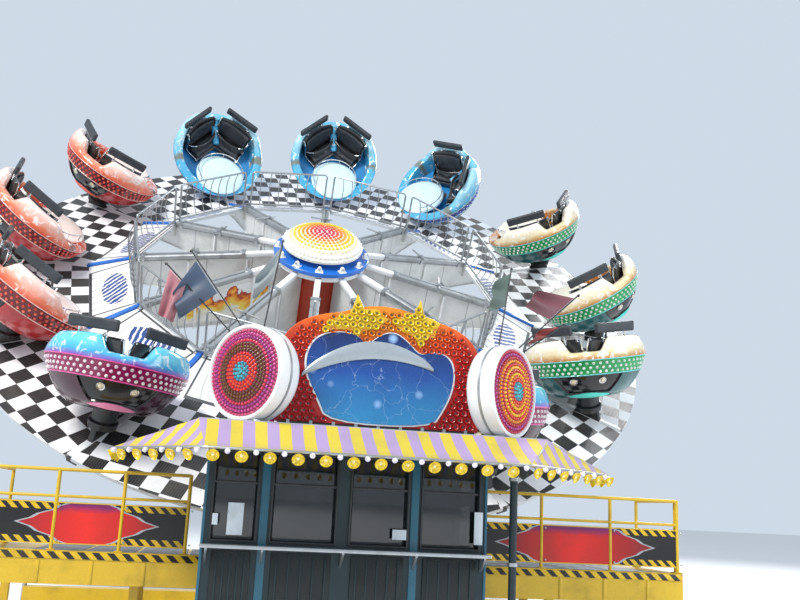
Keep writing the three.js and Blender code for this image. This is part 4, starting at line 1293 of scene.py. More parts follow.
def cushion(size, radius, cells, pressure, cap, seams):
    """A padded box, its rear and the lines sewn across its front held while it is blown up."""
    def held(p):
        rear = p[:, 2] < -size[2] / 2 + 0.006
        sewn = (np.abs(p[:, 0:1] - np.array(seams)) < 0.012).any(1) & (p[:, 2] > 0)
        return rear | sewn
    return blown(rounded_box(*size, radius, cells), pressure, cap, held)


seat_cushion = cushion((0.80, 0.30, 0.075), 0.022, (28, 12, 4), 3.0, 0.022, [0.0])
back_cushion = cushion((0.80, 0.42, 0.065), 0.02, (28, 16, 4), 3.0, 0.02, [-0.2, 0.0, 0.2])
head_pad = cushion((0.88, 0.185, 0.085), 0.03, (30, 8, 4), 2.5, 0.012, [])
print("Quads of the seat cushion:", len(seat_cushion["quads"]))

# %% Padding of a bench
def bent_back(shape):
    """The back cushion follows the curl of its shell."""
    p = shape["points"].copy()
    p[:, 2] += 0.09 * (p[:, 0] / SEAT_SIDE) ** 2 * np.clip((p[:, 1] + 0.21) / 0.42, 0, 1)
    return {**shape, "points": p}


def bench_padding():
    """Cushion, back and head rest in the bench's frame: X outward, Y across the seat."""
    lean = radians(73)
    lay = np.column_stack([(0, 1, 0), (-1, 0, 0), (0, 0, 1)])
    stand = np.column_stack([(0, -1, 0), (cos(lean), 0, sin(lean)),
                             (-sin(lean), 0, cos(lean))])
    upright = np.column_stack([(0, -1, 0), (0.12, 0, 0.993), (-0.993, 0, 0.12)])
    seat = moved(seat_cushion, (turn("Y", radians(4)) @ lay, [0.43, 0, 0.525]))
    back = moved(bent_back(back_cushion), (stand, [0.70, 0, 0.80]))
    rest = moved(head_pad, (upright, [0.905, 0, 1.235]))
    return together(seat, back, rest)

# %% Leather and seats on the tubs
def leather(name, colour, dirt):
    """Leathercloth: a fine cell grain and a slow change of sheen."""
    made, tree, shader = material(name)
    weathered(tree, shader, colour, dirt, 5.0, 0.5, 0.42, cells(tree, 110.0), 0.002, 0.35)
    return made


SEAT_BLACK = painted("seat_shell_black", "#1b1d20", 0.3, coat=0.5, dirt="#45474a", scale=5)
LEATHER = leather("seat_leathercloth", "#2b3036", "#4b5056")
benches = [(turn("Z", side * BENCH_TURN), ORIGIN) for side in (-1, 1)]
seats = repeated(together(seat_shell(), seat_fittings()), benches)
padding = repeated(bench_padding(), benches)
for k in range(SPOKES):
    name = f"tub_{k + 1:02d}"
    piece(f"{name}_seat_shells", moved(seats, tub_frames[k]), name, [SEAT_BLACK, CHROME],
          [f"{name}_seats"])
    piece(f"{name}_cushions", moved(padding, tub_frames[k]), name, [LEATHER], sharp=70)

# %% [markdown]
# ## Steelwork
# The CAD solids of the girders, the boom and the base are already right. They could be built again
# with finer edges, but nothing would be gained at this size, so they keep their meshes and get
# better materials. Distance from the disc's axis is |(p - hub) x axis|: it turns the white girder
# paint red on the barrel round the hub column, and black beyond the webs, which gives each tub its
# dark stand. Thin pieces add trims, cross struts, a flame-like patch and the bolts of the base.

# %% Steelwork materials
PANEL_PITCH = 0.93  # between the lines on a web
BARREL_R, STAND_R = 0.7, 5.6  # red within the first, black beyond the second


def girder_material():
    """White web plates with grey panel lines; by distance from the axis, a red and a black part."""
    made, tree, shader = material("girder_paint")
    from_hub = vector_math(tree, "SUBTRACT", object_point(tree), (0, 0, HUB_Z)).outputs[0]
    across = vector_math(tree, "CROSS_PRODUCT", from_hub, tuple(DISC[0][:, 2])).outputs[0]
    reach = Value(tree, vector_math(tree, "LENGTH", across).outputs["Value"])
    line = abs((reach / PANEL_PITCH).fract() - 0.5) < 0.012
    colour = blend(tree, line * 0.6, "#dcdedd", "#83888b")
    colour = shaded(tree, reach, colour, (STAND_R, STAND_R + 0.02, "#15171a"),
                    (BARREL_R, BARREL_R - 0.02, "#c03a1c"))
    weathered(tree, shader, colour, "#77736a", 1.6, 0.45, 0.38)
    return made


def hazard_material():
    """Slanting yellow and black stripes from UV in metres: fract((u + v) / 0.17) against one half."""
    made, tree, shader = material("hazard_stripes")
    u, v = surface_uv(tree)
    stripe = ((u + v) / 0.17 + EVEN_SHIFT).fract() > 0.5
    colour = blend(tree, stripe, "#e0b81c", "#191919")
    weathered(tree, shader, colour, "#4b4018", 2.5, 0.5, 0.45)
    return made


def flame_material():
    """A streak of flame: v raised by waves of u; white, yellow, orange, a red edge, and white again."""
    made, tree, shader = material("flame_patch")
    u, v = surface_uv(tree)
    rise = v + (noise(tree, 3.2, 3.0, Distortion=1.4) - 0.5) * 0.9 + (u * 11.0).sine() * 0.12
    colour = shaded(tree, rise, "#f1f1ee", (0.2, 0.42, "#f4d455"), (0.46, 0.66, "#ec8420"),
                    (0.66, 0.74, "#a82a22"), (0.78, 0.82, "#eceeef"))
    weathered(tree, shader, colour, "#5a4a3a", 2.0, 0.3, 0.35)
    return made


HAZARD, FLAMES = hazard_material(), flame_material()
BOOM_GREY = painted("boom_grey", "#c3c7ca", 0.42, coat=0.1, dirt="#4f4b43", scale=1.8, amount=0.6)
finish_nodes(girder_material(), "spoke_girders")
finish_nodes(RED, "hub_column")
finish_nodes(STEEL, "slew_ring", "pivot_shaft")
finish_nodes(BOOM_GREY, "boom_arm")
finish_nodes(YELLOW, "base_frame", "front_platform")
print("Materials so far:", len(bpy.data.materials))

# %% Details on the steelwork
WEB_LOW = [(0.62, -0.74), (3.8, -0.56), (4.736, -0.552), (6.4, -0.52)]


def web_trims():
    """The flange under a web, two stiffeners on each side, and a strut to the next web."""
    low = np.array([[r, 0, h] for r, h in WEB_LOW])
    shapes = [swept(low, rounded(0.11, 0.02, 0.006), finish=0)]
    for r in (1.5, 2.7):
        top = on_arm(r, -0.1)[2]
        for side in (-1, 1):
            shapes.append(bar((r, side * 0.04, -0.66), (r, side * 0.04, top), 0.05, 0.04, (1, 0, 0)))
    ends = [(turn("Z", a) @ [3.3, 0, -0.45]) for a in (0.01, -STEP - 0.01)]
    shapes.append(tube(ends, 0.03, 8, finish=1))
    return together(*shapes)


def covered(shape, uv):
    """The shape with a grid's UV repeated over all its points."""
    return {**shape, "uv": np.resize(uv.reshape(-1, 2), shape["uv"].shape)}


def flame_patch():
    """Thin plates on both sides of a web, in the web's own plane, with UV (distance, height)."""
    grid_u, grid_v = np.meshgrid(np.linspace(0, 1, 25), np.linspace(0, 1, 9), indexing="ij")
    r = 1.15 + 1.75 * grid_u
    top = np.interp(r, [0.93, 3.76], [0.40, -0.12])
    low = np.interp(r, [0.62, 3.8], [-0.70, -0.53])
    h = low + (top - low) * (0.06 + 0.9 * grid_v)
    uv = vectors(r, grid_v)
    sheets = [slab_under(vectors(r, side * 0.0225, h),
                         np.array([0, side * 0.004, 0]), uv, 2, 2) for side in (-1, 1)]
    return together(*[covered(sheet, uv) for sheet in sheets])


piece("web_trims", together(repeated(web_trims(), spokes), moved(flame_patch(), spokes[0])), "disc",
      [WHITE, STEEL, FLAMES])

# %% Bolts and feet of the base
def bolts(places, normal, size=0.022, finish=1):
    """Hexagon heads at many places, all facing one way."""
    profile = [(0, 0), (size, 0), (size, size), (size * 0.8, size * 1.2), (0, size * 1.2)]
    normals = np.tile(np.asarray(normal, float), (len(places), 1))
    return copies(turned(profile, 6, finish=finish), np.asarray(places, float),
                  facing(normals, (0, 1, 0.01)))


def base_details():
    """Foot spindles with their nuts, and the six bolts on each bracket of the boom's hinge."""
    spindle = turned([(0, 0.07), (0.06, 0.07), (0.06, 0.1), (0.035, 0.11), (0.035, 0.46),
                      (0.05, 0.46), (0.05, 0.5), (0, 0.5)], 12, finish=1)
    shapes = [at(spindle, x, y, 0) for y in (PIVOT_Y, 0.0) for x in (-4.3, 4.3)]
    for side in (-1, 1):
        places = [(side * 0.831, PIVOT_Y + 0.16 * cos(a), PIVOT_Z + 0.16 * sin(a))
                  for a in np.arange(6) * pi / 3]
        shapes.append(bolts(places, (side, 0, 0)))
    return together(*shapes)


piece("base_details", base_details(), "base", [YELLOW, STEEL])

# %% [markdown]
# ## Platform and fences
# Round tubes carry painted panels. Each colour field could be a plate of its own; on the ride they
# are painted on one board, so a formula in the material draws them: a red plate with pointed ends,
# |x| + 2.4 |z| < reach, between black fields with grey jagged lines and hazard stripes.

# %% Fence panel paint
PANEL_STRIPE = 0.13


def panel_material(reach):
    """The arrow-ended plate, |u| + 2.4 |v| < reach, from UV in metres off the panel's middle."""
    made, tree, shader = material("fence_panel")
    u, v = surface_uv(tree)
    out = abs(u) + abs(v) * 2.4 + abs(v).pingpong(0.05) * 0.9
    field = out > reach
    red = blend(tree, (1.0 - abs(u) * 1.1).larger(0.0), "#8e1216", "#ea2418")
    red = shaded(tree, v + noise(tree, 5.0, 2.0) * 0.06, red, (0.15, 0.23, "#7a1660"))
    colour = blend(tree, field, red, "#141216")
    stripes = ((u + v) / PANEL_STRIPE + EVEN_SHIFT).fract() > 0.5
    colour = blend(tree, (abs(v) > 0.155) * field * stripes, colour, "#dcb51e")
    colour = blend(tree, abs(out - reach) < 0.022, colour, "#a9adb3")
    weathered(tree, shader, colour, amount=0.3, roughness=0.3, strength=0.2)
    return made

# %% Fences
FLOOR_TOP = 1.001  # the platform's upper face
FENCE_TOP = 1.95
PANEL_MIDDLE, PANEL_HALF = 1.31, 0.23
FENCE_LINE, FENCE_SIDE = -7.25, 4.35


def fence(length, bays):
    """A fence along X from 0: posts with foot plates, a hand rail, a middle rail and the panel."""
    shapes = []
    for x in np.linspace(0, length, bays + 1):
        shapes.append(tube([(x, 0, FLOOR_TOP), (x, 0, FENCE_TOP - 0.01)], 0.023, 12, up=(0, 1, 0)))
        shapes.append(block(x - 0.05, x + 0.05, -0.05, 0.05, FLOOR_TOP, FLOOR_TOP + 0.012))
        for z in (PANEL_MIDDLE - 0.2, PANEL_MIDDLE + 0.2):
            shapes.append(bolts([(x + 0.05, -0.013, z)], (0, -1, 0.01), 0.014, 2))
    for z, r in ((FENCE_TOP - 0.02, 0.021), (1.62, 0.018)):
        shapes.append(tube([(0, 0, z), (length, 0, z)], r, 12))
    board = plate(rounded(length - 0.02, 2 * PANEL_HALF, 0.012), -0.012, 0.012, 0.003, finish=1)
    on_panel = (turn("X", pi / 2), np.array([length / 2, 0, PANEL_MIDDLE]))
    trim_z = PANEL_MIDDLE + 0.235
    trim = swept([[0.01, 0, trim_z], [length - 0.01, 0, trim_z]], rounded(0.034, 0.014, 0.004))
    return together(*shapes, moved(board, on_panel), trim, at(trim, 0, 0, -0.47))


for name, x0, x1, side in (("left", -FENCE_SIDE, -2.05, -1), ("right", 1.5, FENCE_SIDE, 1)):
    art = panel_material((x1 - x0) / 2 - 0.34)
    piece(f"fence_{name}", at(fence(x1 - x0, 3), x0, FENCE_LINE, 0), "base", [YELLOW, art, STEEL],
          [f"platform_fence_{name}"])
    across = (turn("Z", pi / 2), np.array([side * FENCE_SIDE, FENCE_LINE + 0.05, 0]))
    piece(f"fence_end_{name}", moved(fence(1.19, 1), across), "base", [YELLOW, YELLOW, STEEL],
          [f"platform_end_{name}"])

# %% Sheets of the platform
SKIRT = (-7.309, -7.301)  # the thin space in front of the platform's edge


def striped_board(x0, x1):
    """A board under the platform's edge whose UV is (x, z) in metres, for striped paint."""
    shape = block(x0, x1, *SKIRT, 0.905, 0.985, 0.004)
    return {**shape, "uv": shape["points"][:, [0, 2]]}


treads = [block(0.6 * i - 4.38, 0.6 * i - 3.82, -7.27, -5.98, FLOOR_TOP, FLOOR_TOP + 0.005, 0.002, 1)
          for i in range(1, 14)]
ribs = [block(x - 0.02, x + 0.02, *SKIRT, 0.63, 0.89, 0.003, 2)
        for x in [*np.arange(-4.3, -1.9, 0.6), *np.arange(1.5, 4.4, 0.6)]]
TREAD = painted("tread_sheet", "#8f9396", 0.42, metallic=0.7, dirt="#3d3a34", scale=5, amount=0.6)
piece("platform_trim", together(*treads, striped_board(-4.39, -1.87), striped_board(1.32, 4.39), *ribs),
      "base", [HAZARD, TREAD, YELLOW])

# %% [markdown]
# ## Pay booth
# The booth's walls keep their CAD mesh, whose openings are right. Frames, panes, counter, panels
# and corner trims could be cut into them; they are screwed on in front on the real booth, so thin
# rounded pieces stand for them here too.

# %% Booth finishes
BOOTH_LEFT, BOOTH_RIGHT, BOOTH_FRONT, BOOTH_REAR = -1.85, 1.3, -8.6, -7.3
WINDOW_POSTS = [-1.85, -1.21, -0.34, 0.47, 1.30]
WINDOW_LOW, WINDOW_HIGH = 1.25, 2.18
WINDOW_SIDE = 0.09  # from a post's line to the opening
# The booth's teal and its panels are dark paint made darker still: painted shade for the booth's shaded
# front.
BOOTH_TEAL = painted("booth_teal", "#0b272e", 0.42, coat=0.1, dirt="#07181b", scale=2.2, amount=0.55)
BOOTH_DARK = painted("booth_panel", "#08161a", 0.5, coat=0.05, dirt="#050d0f", scale=2.8, amount=0.5)
TRIM_BLUE = painted("booth_trim", "#175a70", 0.38, coat=0.2, dirt="#0c2a35", scale=3)
PAPER = painted("notice_paper", "#c9d3da", 0.7, dirt="#8d8f88", scale=7)
ROOF_GREY = painted("roof_sheet", "#b9bdc1", 0.45, metallic=0.3, dirt="#55524b", scale=1.5, amount=0.5)


def pane_material():
    """Dark window glass: glossy and partly see-through, with faint smears; its near-black colour is
    painted shade for the booth's dark inside.
    """
    made, tree, shader = material("window_glass")
    out = use(tree, weather, Colour="#0a1114", Dirt="#39434a", Scale=2.0, Amount=0.4,
              Roughness=0.06)
    feed(tree, shader.inputs, {"Base Color": out["Colour"], "Roughness": out["Roughness"],
                               "Alpha": 0.85, "Coat Weight": 1.0})
    return made


finish_nodes(BOOTH_TEAL, "booth_walls", "canopy_post")
finish_nodes(BLACK, "booth_floor")
finish_nodes(ROOF_GREY, "booth_roof")
WINDOWS = [(a + WINDOW_SIDE, b - WINDOW_SIDE) for a, b in zip(WINDOW_POSTS, WINDOW_POSTS[1:])]
print("Window widths:", [round(b - a, 2) for a, b in WINDOWS])

# %% Booth trim
ON_WALL = BOOTH_FRONT - 0.001  # just off the front wall


def framed(x0, x1, z0, z1, y, wide, deep, finish=0):
    """Four mitred bars round an opening in a front wall."""
    path = np.array([[x0, y, z0], [x1, y, z0], [x1, y, z1], [x0, y, z1]])
    after = np.roll(path, -1, 0)
    corners = np.stack([path + share * (after - path) for share in (0.002, 0.998)], 1).reshape(-1, 3)
    return swept(corners, rounded(deep, wide, 0.006), up=(0, 1, 0), loop=True, finish=finish)


def window_details(x0, x1):
    """The frame and rail of one window, and the grooved panel under it."""
    frame_bars = framed(x0 - 0.012, x1 + 0.012, WINDOW_LOW - 0.012, WINDOW_HIGH + 0.012,
                        BOOTH_FRONT - 0.012, 0.03, 0.02, 1)
    rail_y = BOOTH_FRONT + 0.02
    rail = bar((x0, rail_y, 1.86), (x1, rail_y, 1.86), 0.03, 0.03, finish=1)
    panel = block(x0 + 0.02, x1 - 0.02, BOOTH_FRONT - 0.022, ON_WALL, 0.45, 1.13, 0.01, 2)
    slats = [block(x - 0.008, x + 0.008, BOOTH_FRONT - 0.03, BOOTH_FRONT - 0.02, 0.48, 1.10, 0.003)
             for x in np.linspace(x0 + 0.08, x1 - 0.08, 5)]
    return together(frame_bars, rail, panel, *slats)


def booth_details():
    """The four windows, counter with brackets, corner trims and blank notices."""
    shapes = [window_details(x0, x1) for x0, x1 in WINDOWS]
    for x in (WINDOW_POSTS[1], WINDOW_POSTS[3]):
        shapes.append(block(x - 0.045, x + 0.045, BOOTH_FRONT - 0.016, ON_WALL, 0.42, 2.42, 0.006, 3))
    shapes.append(block(BOOTH_LEFT - 0.02, BOOTH_RIGHT + 0.02, BOOTH_FRONT - 0.24, ON_WALL, 1.165, 1.2,
                        0.012, 4))
    wedge = plate([(0.0, 0.0), (0.2, 0.0), (0.2, -0.02), (0.02, -0.16), (0.0, -0.16)], -0.012, 0.012,
                  0.002, finish=4)
    under = np.column_stack([(0, -1, 0), (0, 0, 1), (-1, 0, 0)])
    for x in np.clip(WINDOW_POSTS, BOOTH_LEFT + 0.05, BOOTH_RIGHT - 0.05):
        shapes.append(moved(wedge, (under, [x, ON_WALL, 1.164])))
    for x in (BOOTH_LEFT, BOOTH_RIGHT):
        shapes.append(block(x - 0.015, x + 0.015, BOOTH_FRONT - 0.015, BOOTH_FRONT + 0.03, 0.33, 2.44,
                            0.005, 3))
        for z in (0.36, 1.22, 2.40):
            shapes.append(block(x - 0.014, x + 0.014, BOOTH_FRONT, BOOTH_REAR, z, z + 0.04, 0.004))
    for x0, z0, w, h in ((-1.60, 1.30, 0.17, 0.34), (-1.76, 1.40, 0.06, 0.12), (0.22, 1.32, 0.16, 0.11),
                         (1.16, 1.30, 0.10, 0.36)):
        shapes.append(block(x0, x0 + w, BOOTH_FRONT - 0.03, BOOTH_FRONT - 0.026, z0, z0 + h, 0.001, 5))
    shapes.append(block(BOOTH_LEFT + 0.08, BOOTH_RIGHT - 0.08, -8.2, -8.1, 1.05, 1.1, 0.01, 4))
    return together(*shapes)


piece("booth_trim", booth_details(), "base",
      [BOOTH_TEAL, BLACK, BOOTH_DARK, TRIM_BLUE, STEEL, PAPER])

# %% Panes and canopy post
POST_X, POST_Y = 1.62, -8.63
panes = [block(x0, x1, -8.575, -8.569, WINDOW_LOW, WINDOW_HIGH, 0.001) for x0, x1 in WINDOWS]
piece("booth_panes", together(*panes), "base", [pane_material()])
collar = turned([(0, 0.021), (0.075, 0.021), (0.075, 0.03), (0.06, 0.06), (0.052, 0.16), (0, 0.16)], 20)
clip = turned([(0, -0.02), (0.058, -0.02), (0.058, 0.02), (0, 0.02)], 20)
post_bits = together(collar, at(clip, 0, 0, 1.1), at(clip, 0, 0, 2.05))
piece("canopy_post_collars", at(post_bits, POST_X, POST_Y, 0), "base", [STEEL])

# %% [markdown]
# ## Canopy
# One striped sheet is stretched from the roof's edge to a bent front rail. A cloth simulation could
# drape it, but a tight sheet hardly moves, so its sag is written down: 0.022 sin(pi t) |sin(pi n s)|
# below the straight sheet, with t from the roof to the rail, s along it and n ribs. The stripes are
# counted along each edge of the rail, so they run square to it. Cup lamps and small bulbs hang from
# the rail.

# %% Canopy shape
ROOT = np.array([(-2.0, -7.31), (-2.0, -8.7), (-2.0, -8.7), (2.0, -8.7), (2.0, -8.7), (2.0, -7.31)])
EDGE = np.array([(-2.9, -7.31), (-2.9, -8.1), (-1.9, -9.3), (1.6, -9.3), (3.0, -8.1), (3.0, -7.31)])
CANOPY_HIGH, CANOPY_LOW = 2.52, 2.2
CANOPY_COLUMNS = [10, 14, 64, 14, 10]
CANOPY_ROWS = 18


def canopy_grid():
    """Points, UV and flat area: each part spans two root corners and two edge corners."""
    t = np.linspace(0, 1, CANOPY_ROWS)[:, None, None]
    points, uv = [], []
    for i, count in enumerate(CANOPY_COLUMNS):
        s = np.linspace(0, 1, count + 1)[:, None]
        root, edge = ROOT[i] + s * (ROOT[i + 1] - ROOT[i]), EDGE[i] + s * (EDGE[i + 1] - EDGE[i])
        flat = root[None] + t * (edge - root)[None]
        step = EDGE[i + 1] - EDGE[i]
        along = step / np.linalg.norm(step)
        ribs = max(1, round(np.linalg.norm(step) / 0.7))
        sag = 0.022 * np.sin(pi * t[..., 0]) * np.abs(np.sin(pi * ribs * s[:, 0]))
        ripple = 0.003 * np.sin(17 * flat[..., 0] + 5 * flat[..., 1]) * np.sin(pi * t[..., 0])
        z = CANOPY_HIGH + (CANOPY_LOW - CANOPY_HIGH) * t[..., 0] - sag + ripple
        points.append(np.concatenate([flat, z[..., None]], -1))
        uv.append(vectors((flat - EDGE[i]) @ along, np.broadcast_to(t[..., 0], z.shape)))
    points, uv = np.concatenate(points, 1), np.concatenate(uv, 1)
    a, b = points[1:, :-1] - points[:-1, :-1], points[:-1, 1:] - points[:-1, :-1]
    c, d = points[1:, :-1] - points[1:, 1:], points[:-1, 1:] - points[1:, 1:]
    halves = [np.linalg.norm(np.cross(*sides), axis=-1) for sides in ((a, b), (c, d))]
    area = (halves[0] + halves[1]).sum() / 2
    return points, uv, area

canopy_points, canopy_uv, canopy_area = canopy_grid()
print("Canopy cloth:", round(float(canopy_area), 2), "square metres")

# %% Canopy sheet
STRIPE = 0.13


def canopy_cloth():
    """Coated cloth: yellow and lilac stripes of 0.13 m, muted a little as painted shade, a fine weave,
    and a greyer band along the rail.
    """
    made, tree, shader = material("canopy_stripes")
    u, v = surface_uv(tree)
    stripe = ((u + noise(tree, 2.6, 3.0) * 0.012) / (2 * STRIPE) + 20.0).fract() > 0.5
    # The stripe colours are muted a little: painted shade of a canopy that stands in shade.
    colour = blend(tree, stripe, "#cfbb34", "#a892bd")
    colour = blend(tree, v.ramp(0.8, 1.0) * 0.25, colour, "#8d8672")
    weathered(tree, shader, colour, "#7d745e", 1.4, 0.4, 0.6, cells(tree, 260.0), 0.001, 0.3)
    return made


sheet = slab_under(canopy_points, np.array([0, 0, -0.003]), canopy_uv, 0, 0)
under = canopy_uv[::-1].reshape(-1, 2)
sheet["uv"][len(under):2 * len(under)] = under
canopy_sheet = piece("canopy_sheet", sheet, "base", [canopy_cloth()], ["canopy"],
                     sharp=50)

# %% Canopy rail
LAMP_PITCH = 0.29
corners = np.column_stack([EDGE, np.full(6, CANOPY_LOW - 0.018)])
share = np.linspace(0.01, 0.99, 5)[:, None]
hem = tube(np.concatenate([a + (b - a) * share for a, b in zip(corners, corners[1:])]), 0.016, 8)
ribs = [tube([(*(r * [0.999, 1]), CANOPY_HIGH - 0.022), (*e, CANOPY_LOW - 0.022)], 0.012, 8,
             up=(0.1, 0, 1)) for r, e in zip(ROOT[1:5], EDGE[1:5])]


def rail_points(pitch, start):
    """Points along the rail at a pitch, with the outward direction at each."""
    steps = np.diff(EDGE, axis=0)
    length = np.linalg.norm(steps, axis=1)
    ends = np.concatenate([[0], np.cumsum(length)])
    run = np.arange(start, ends[-1], pitch)
    part = np.clip(np.searchsorted(ends, run, side="right") - 1, 0, 4)
    flat = EDGE[part] + steps[part] * ((run - ends[part]) / length[part])[:, None]
    outward = (steps / length[:, None])[part] @ np.array([[0, -1], [1, 0]])
    return flat, outward


print("Lamps along the rail:", len(rail_points(LAMP_PITCH, 0.12)[0]))

# %% Lamps on the rail
def rail_lamps(shape, start, out, drop, lean):
    """A lamp at each pitch of the rail, tipped outwards. Returns them and their places."""
    flat, outward = rail_points(LAMP_PITCH, start)
    places = np.column_stack([flat + out * outward, np.full(len(flat), CANOPY_LOW - drop)])
    turns = facing(np.column_stack([outward, np.full(len(flat), -lean)]))
    return repeated(shape, list(zip(turns, places))), flat, places


cup = turned([(0, 0), (0.03, 0.0), (0.05, 0.016), (0.064, 0.048), (0.068, 0.05), (0.066, 0.044),
              (0.03, 0.02), (0, 0.018)], 16, rgb("#f2cf1e"))
core = at(dome(0.02, 0.026), 0, 0, 0.018)
core["tint"] = np.tile(rgb("#fff3b8"), (len(core["points"]), 1))
bulb = turned([(0, 0), (0.014, 0), (0.016, 0.012), (0.03, 0.03), (0.03, 0.046), (0.016, 0.06),
               (0, 0.062)], 8, rgb("#f4f0ff"))
cups, flat, places = rail_lamps(together(cup, core), 0.12, 0.012, 0.075, 0.55)
small, _, _ = rail_lamps(bulb, 0.265, 0.02, 0.035, 0.4)
hangers = [bar((*foot, CANOPY_LOW - 0.02), place + [0, 0, 0.01], 0.02, 0.008, up=(0.3, 0.2, 0))
           for foot, place in zip(flat, places)]
piece("canopy_rail", together(hem, *ribs, *hangers), "base", [STEEL])
piece("canopy_lamps", together(cups, small), "base", [LAMPS])

# %% [markdown]
# ## Sign
# The board's outline is the CAD one. A picture could be laid on it; the real face is built of small
# reflector cups, and they catch the light each in its own way, so every cup is made. They stand in
# staggered rows and take their colour from their height, from red at the foot to yellow at the top.
# Two ragged bursts and a blue shield with a plain curved ribbon lie over them.

# %% Outlines of the sign
SIGN_X, SIGN_Y = 0.04, -8.3
SIGN_W, SIGN_LOW, SIGN_SHOULDER, SIGN_TOP = 1.2, 2.58, 3.44, 4.01
SIGN = (turn("X", pi / 2), np.array([SIGN_X, SIGN_Y, 0]))


def arc_between(a, b, c, steps=12):
    """A quadratic curve: (1 - t)^2 a + 2 t (1 - t) b + t^2 c."""
    t = np.linspace(0, 1, steps + 1)[:, None]
    return (1 - t) ** 2 * np.array(a) + 2 * t * (1 - t) * np.array(b) + t ** 2 * np.array(c)


w = SIGN_W
SIGN_OUTLINE = np.concatenate([
    [(-w, SIGN_LOW), (w, SIGN_LOW)],
    arc_between((w, SIGN_SHOULDER), (0.94 * w, SIGN_SHOULDER + 0.38), (0.42 * w, SIGN_TOP - 0.11)),
    arc_between((0.42 * w, SIGN_TOP - 0.11), (0, SIGN_TOP + 0.11), (-0.42 * w, SIGN_TOP - 0.11))[1:],
    arc_between((-0.42 * w, SIGN_TOP - 0.11), (-0.94 * w, SIGN_SHOULDER + 0.38), (-w, SIGN_SHOULDER))[1:],
])
SHIELD = np.array([
    (-0.60, 2.60), (-0.72, 2.85), (-0.84, 3.05), (-0.90, 3.28), (-0.84, 3.50), (-0.70, 3.62),
    (-0.45, 3.66), (-0.28, 3.62), (-0.20, 3.50), (-0.02, 3.66), (0.14, 3.70), (0.30, 3.60),
    (0.45, 3.44), (0.62, 3.50), (0.80, 3.46), (0.88, 3.30), (0.86, 3.05), (0.76, 2.82), (0.62, 2.60)])
BURSTS = [
    np.array([(-0.62, 3.80), (-0.40, 3.89), (-0.33, 4.13), (-0.24, 3.95), (-0.10, 3.96),
              (0.06, 3.85), (-0.08, 3.73), (-0.25, 3.68), (-0.37, 3.52), (-0.36, 3.68),
              (-0.50, 3.69), (-0.72, 3.66)]),
    np.array([(0.09, 3.83), (0.26, 3.91), (0.37, 3.95), (0.44, 4.12), (0.49, 3.92), (0.60, 3.90),
              (0.69, 3.85), (0.64, 3.75), (0.63, 3.67), (0.52, 3.68), (0.46, 3.53), (0.38, 3.66),
              (0.23, 3.72)])]


def smooth(outline, rounds=2):
    """Corner cutting: each side gives points at 1/4 and 3/4 of its length."""
    for _ in range(rounds):
        after = np.roll(outline, -1, 0)
        cut = [0.75 * outline + 0.25 * after, 0.25 * outline + 0.75 * after]
        outline = np.stack(cut, 1).reshape(-1, 2)
    return outline


def holds(outline, points):
    """Which points lie inside an outline: the crossings of a ray towards +X are an odd number."""
    a, b = outline[:, None], np.roll(outline, -1, 0)[:, None]
    x, y = points[None, :, 0], points[None, :, 1]
    crosses = (a[..., 1] > y) != (b[..., 1] > y)
    rise = np.where(crosses, b[..., 1] - a[..., 1], 1)
    crossing_x = a[..., 0] + (y - a[..., 1]) * (b[..., 0] - a[..., 0]) / rise
    return ((crosses & (x < crossing_x)).sum(0) % 2).astype(bool)


smooth_shield = smooth(SHIELD)
print("Corners of the shield:", len(smooth_shield))

# %% Reflector cups of the sign
SIGN_RAMP = np.array([rgb(c) for c in ("#b8161a", "#d4261e", "#e44420", "#ee5c1e", "#f07a1e",
                                       "#f2961e")])
RAMP_HEIGHTS = [2.6, 3.05, 3.3, 3.45, 3.6, 3.75]
CUP_ACROSS, CUP_UP = 0.092, 0.08  # pitch of the cups


def sign_colour(x, z):
    """Red to yellow with a height that falls towards the sides: h = z - 0.55 max(0, |x| - 0.35)."""
    h = z - 0.55 * np.maximum(0, np.abs(x) - 0.35)
    return np.stack([np.interp(h, RAMP_HEIGHTS, channel) for channel in SIGN_RAMP.T], -1)


rows, columns = np.meshgrid(np.arange(18), np.arange(-14, 15), indexing="ij")
spots = np.stack([(columns + 0.5 * (rows % 2)) * CUP_ACROSS, SIGN_LOW + 0.05 + rows * CUP_UP],
                 -1).reshape(-1, 2)
middle = np.array([0, 3.2])
inset = middle + (SIGN_OUTLINE - middle) * 0.955
in_burst = holds(BURSTS[0], spots) | holds(BURSTS[1], spots)
off_shield = ~holds(middle + (smooth_shield - middle) * 1.05, spots)
keep = (holds(inset, spots) & off_shield) | in_burst
spots, in_burst = spots[keep], in_burst[keep]
tints = np.where(in_burst[:, None], rgb("#f6d428"), sign_colour(spots[:, 0], spots[:, 1]))
cup = turned([(0, 0), (0.044, 0), (0.043, 0.02), (0.036, 0.038), (0.029, 0.034), (0.018, 0.012),
              (0, 0.01)], 10)
origins = np.column_stack([spots, np.where(in_burst, 0.11, 0.08)])
unturned = np.broadcast_to(np.eye(3), (len(spots), 3, 3))
# Inside each cup a flat cap at 0.3 of its tint darkens the hollow: painted shade.
reflectors = together(copies(cup, origins, unturned, tints),
                      copies(dome(0.02, 0.006, 8, 1), origins + [0, 0, 0.011], unturned, 0.3 * tints))
reflectors["finish"][:] = 1
print("Cups:", len(spots))

# %% Paints of the sign
def sign_paint():
    """The board behind the cups, coloured by the same height, z - 0.55 max(0, |x| - 0.35)."""
    made, tree, shader = material("sign_board_paint")
    x, _, z = parts(tree, object_point(tree))
    height = z - (abs(x - SIGN_X) - 0.35).larger(0.0) * 0.55
    colour = shaded(tree, height, "#b8201a", (3.0, 3.5, "#e8641c"), (3.5, 3.8, "#e88a1c"))
    weathered(tree, shader, colour, "#4a0f0a", 2.6, 0.35, 0.4)
    return made


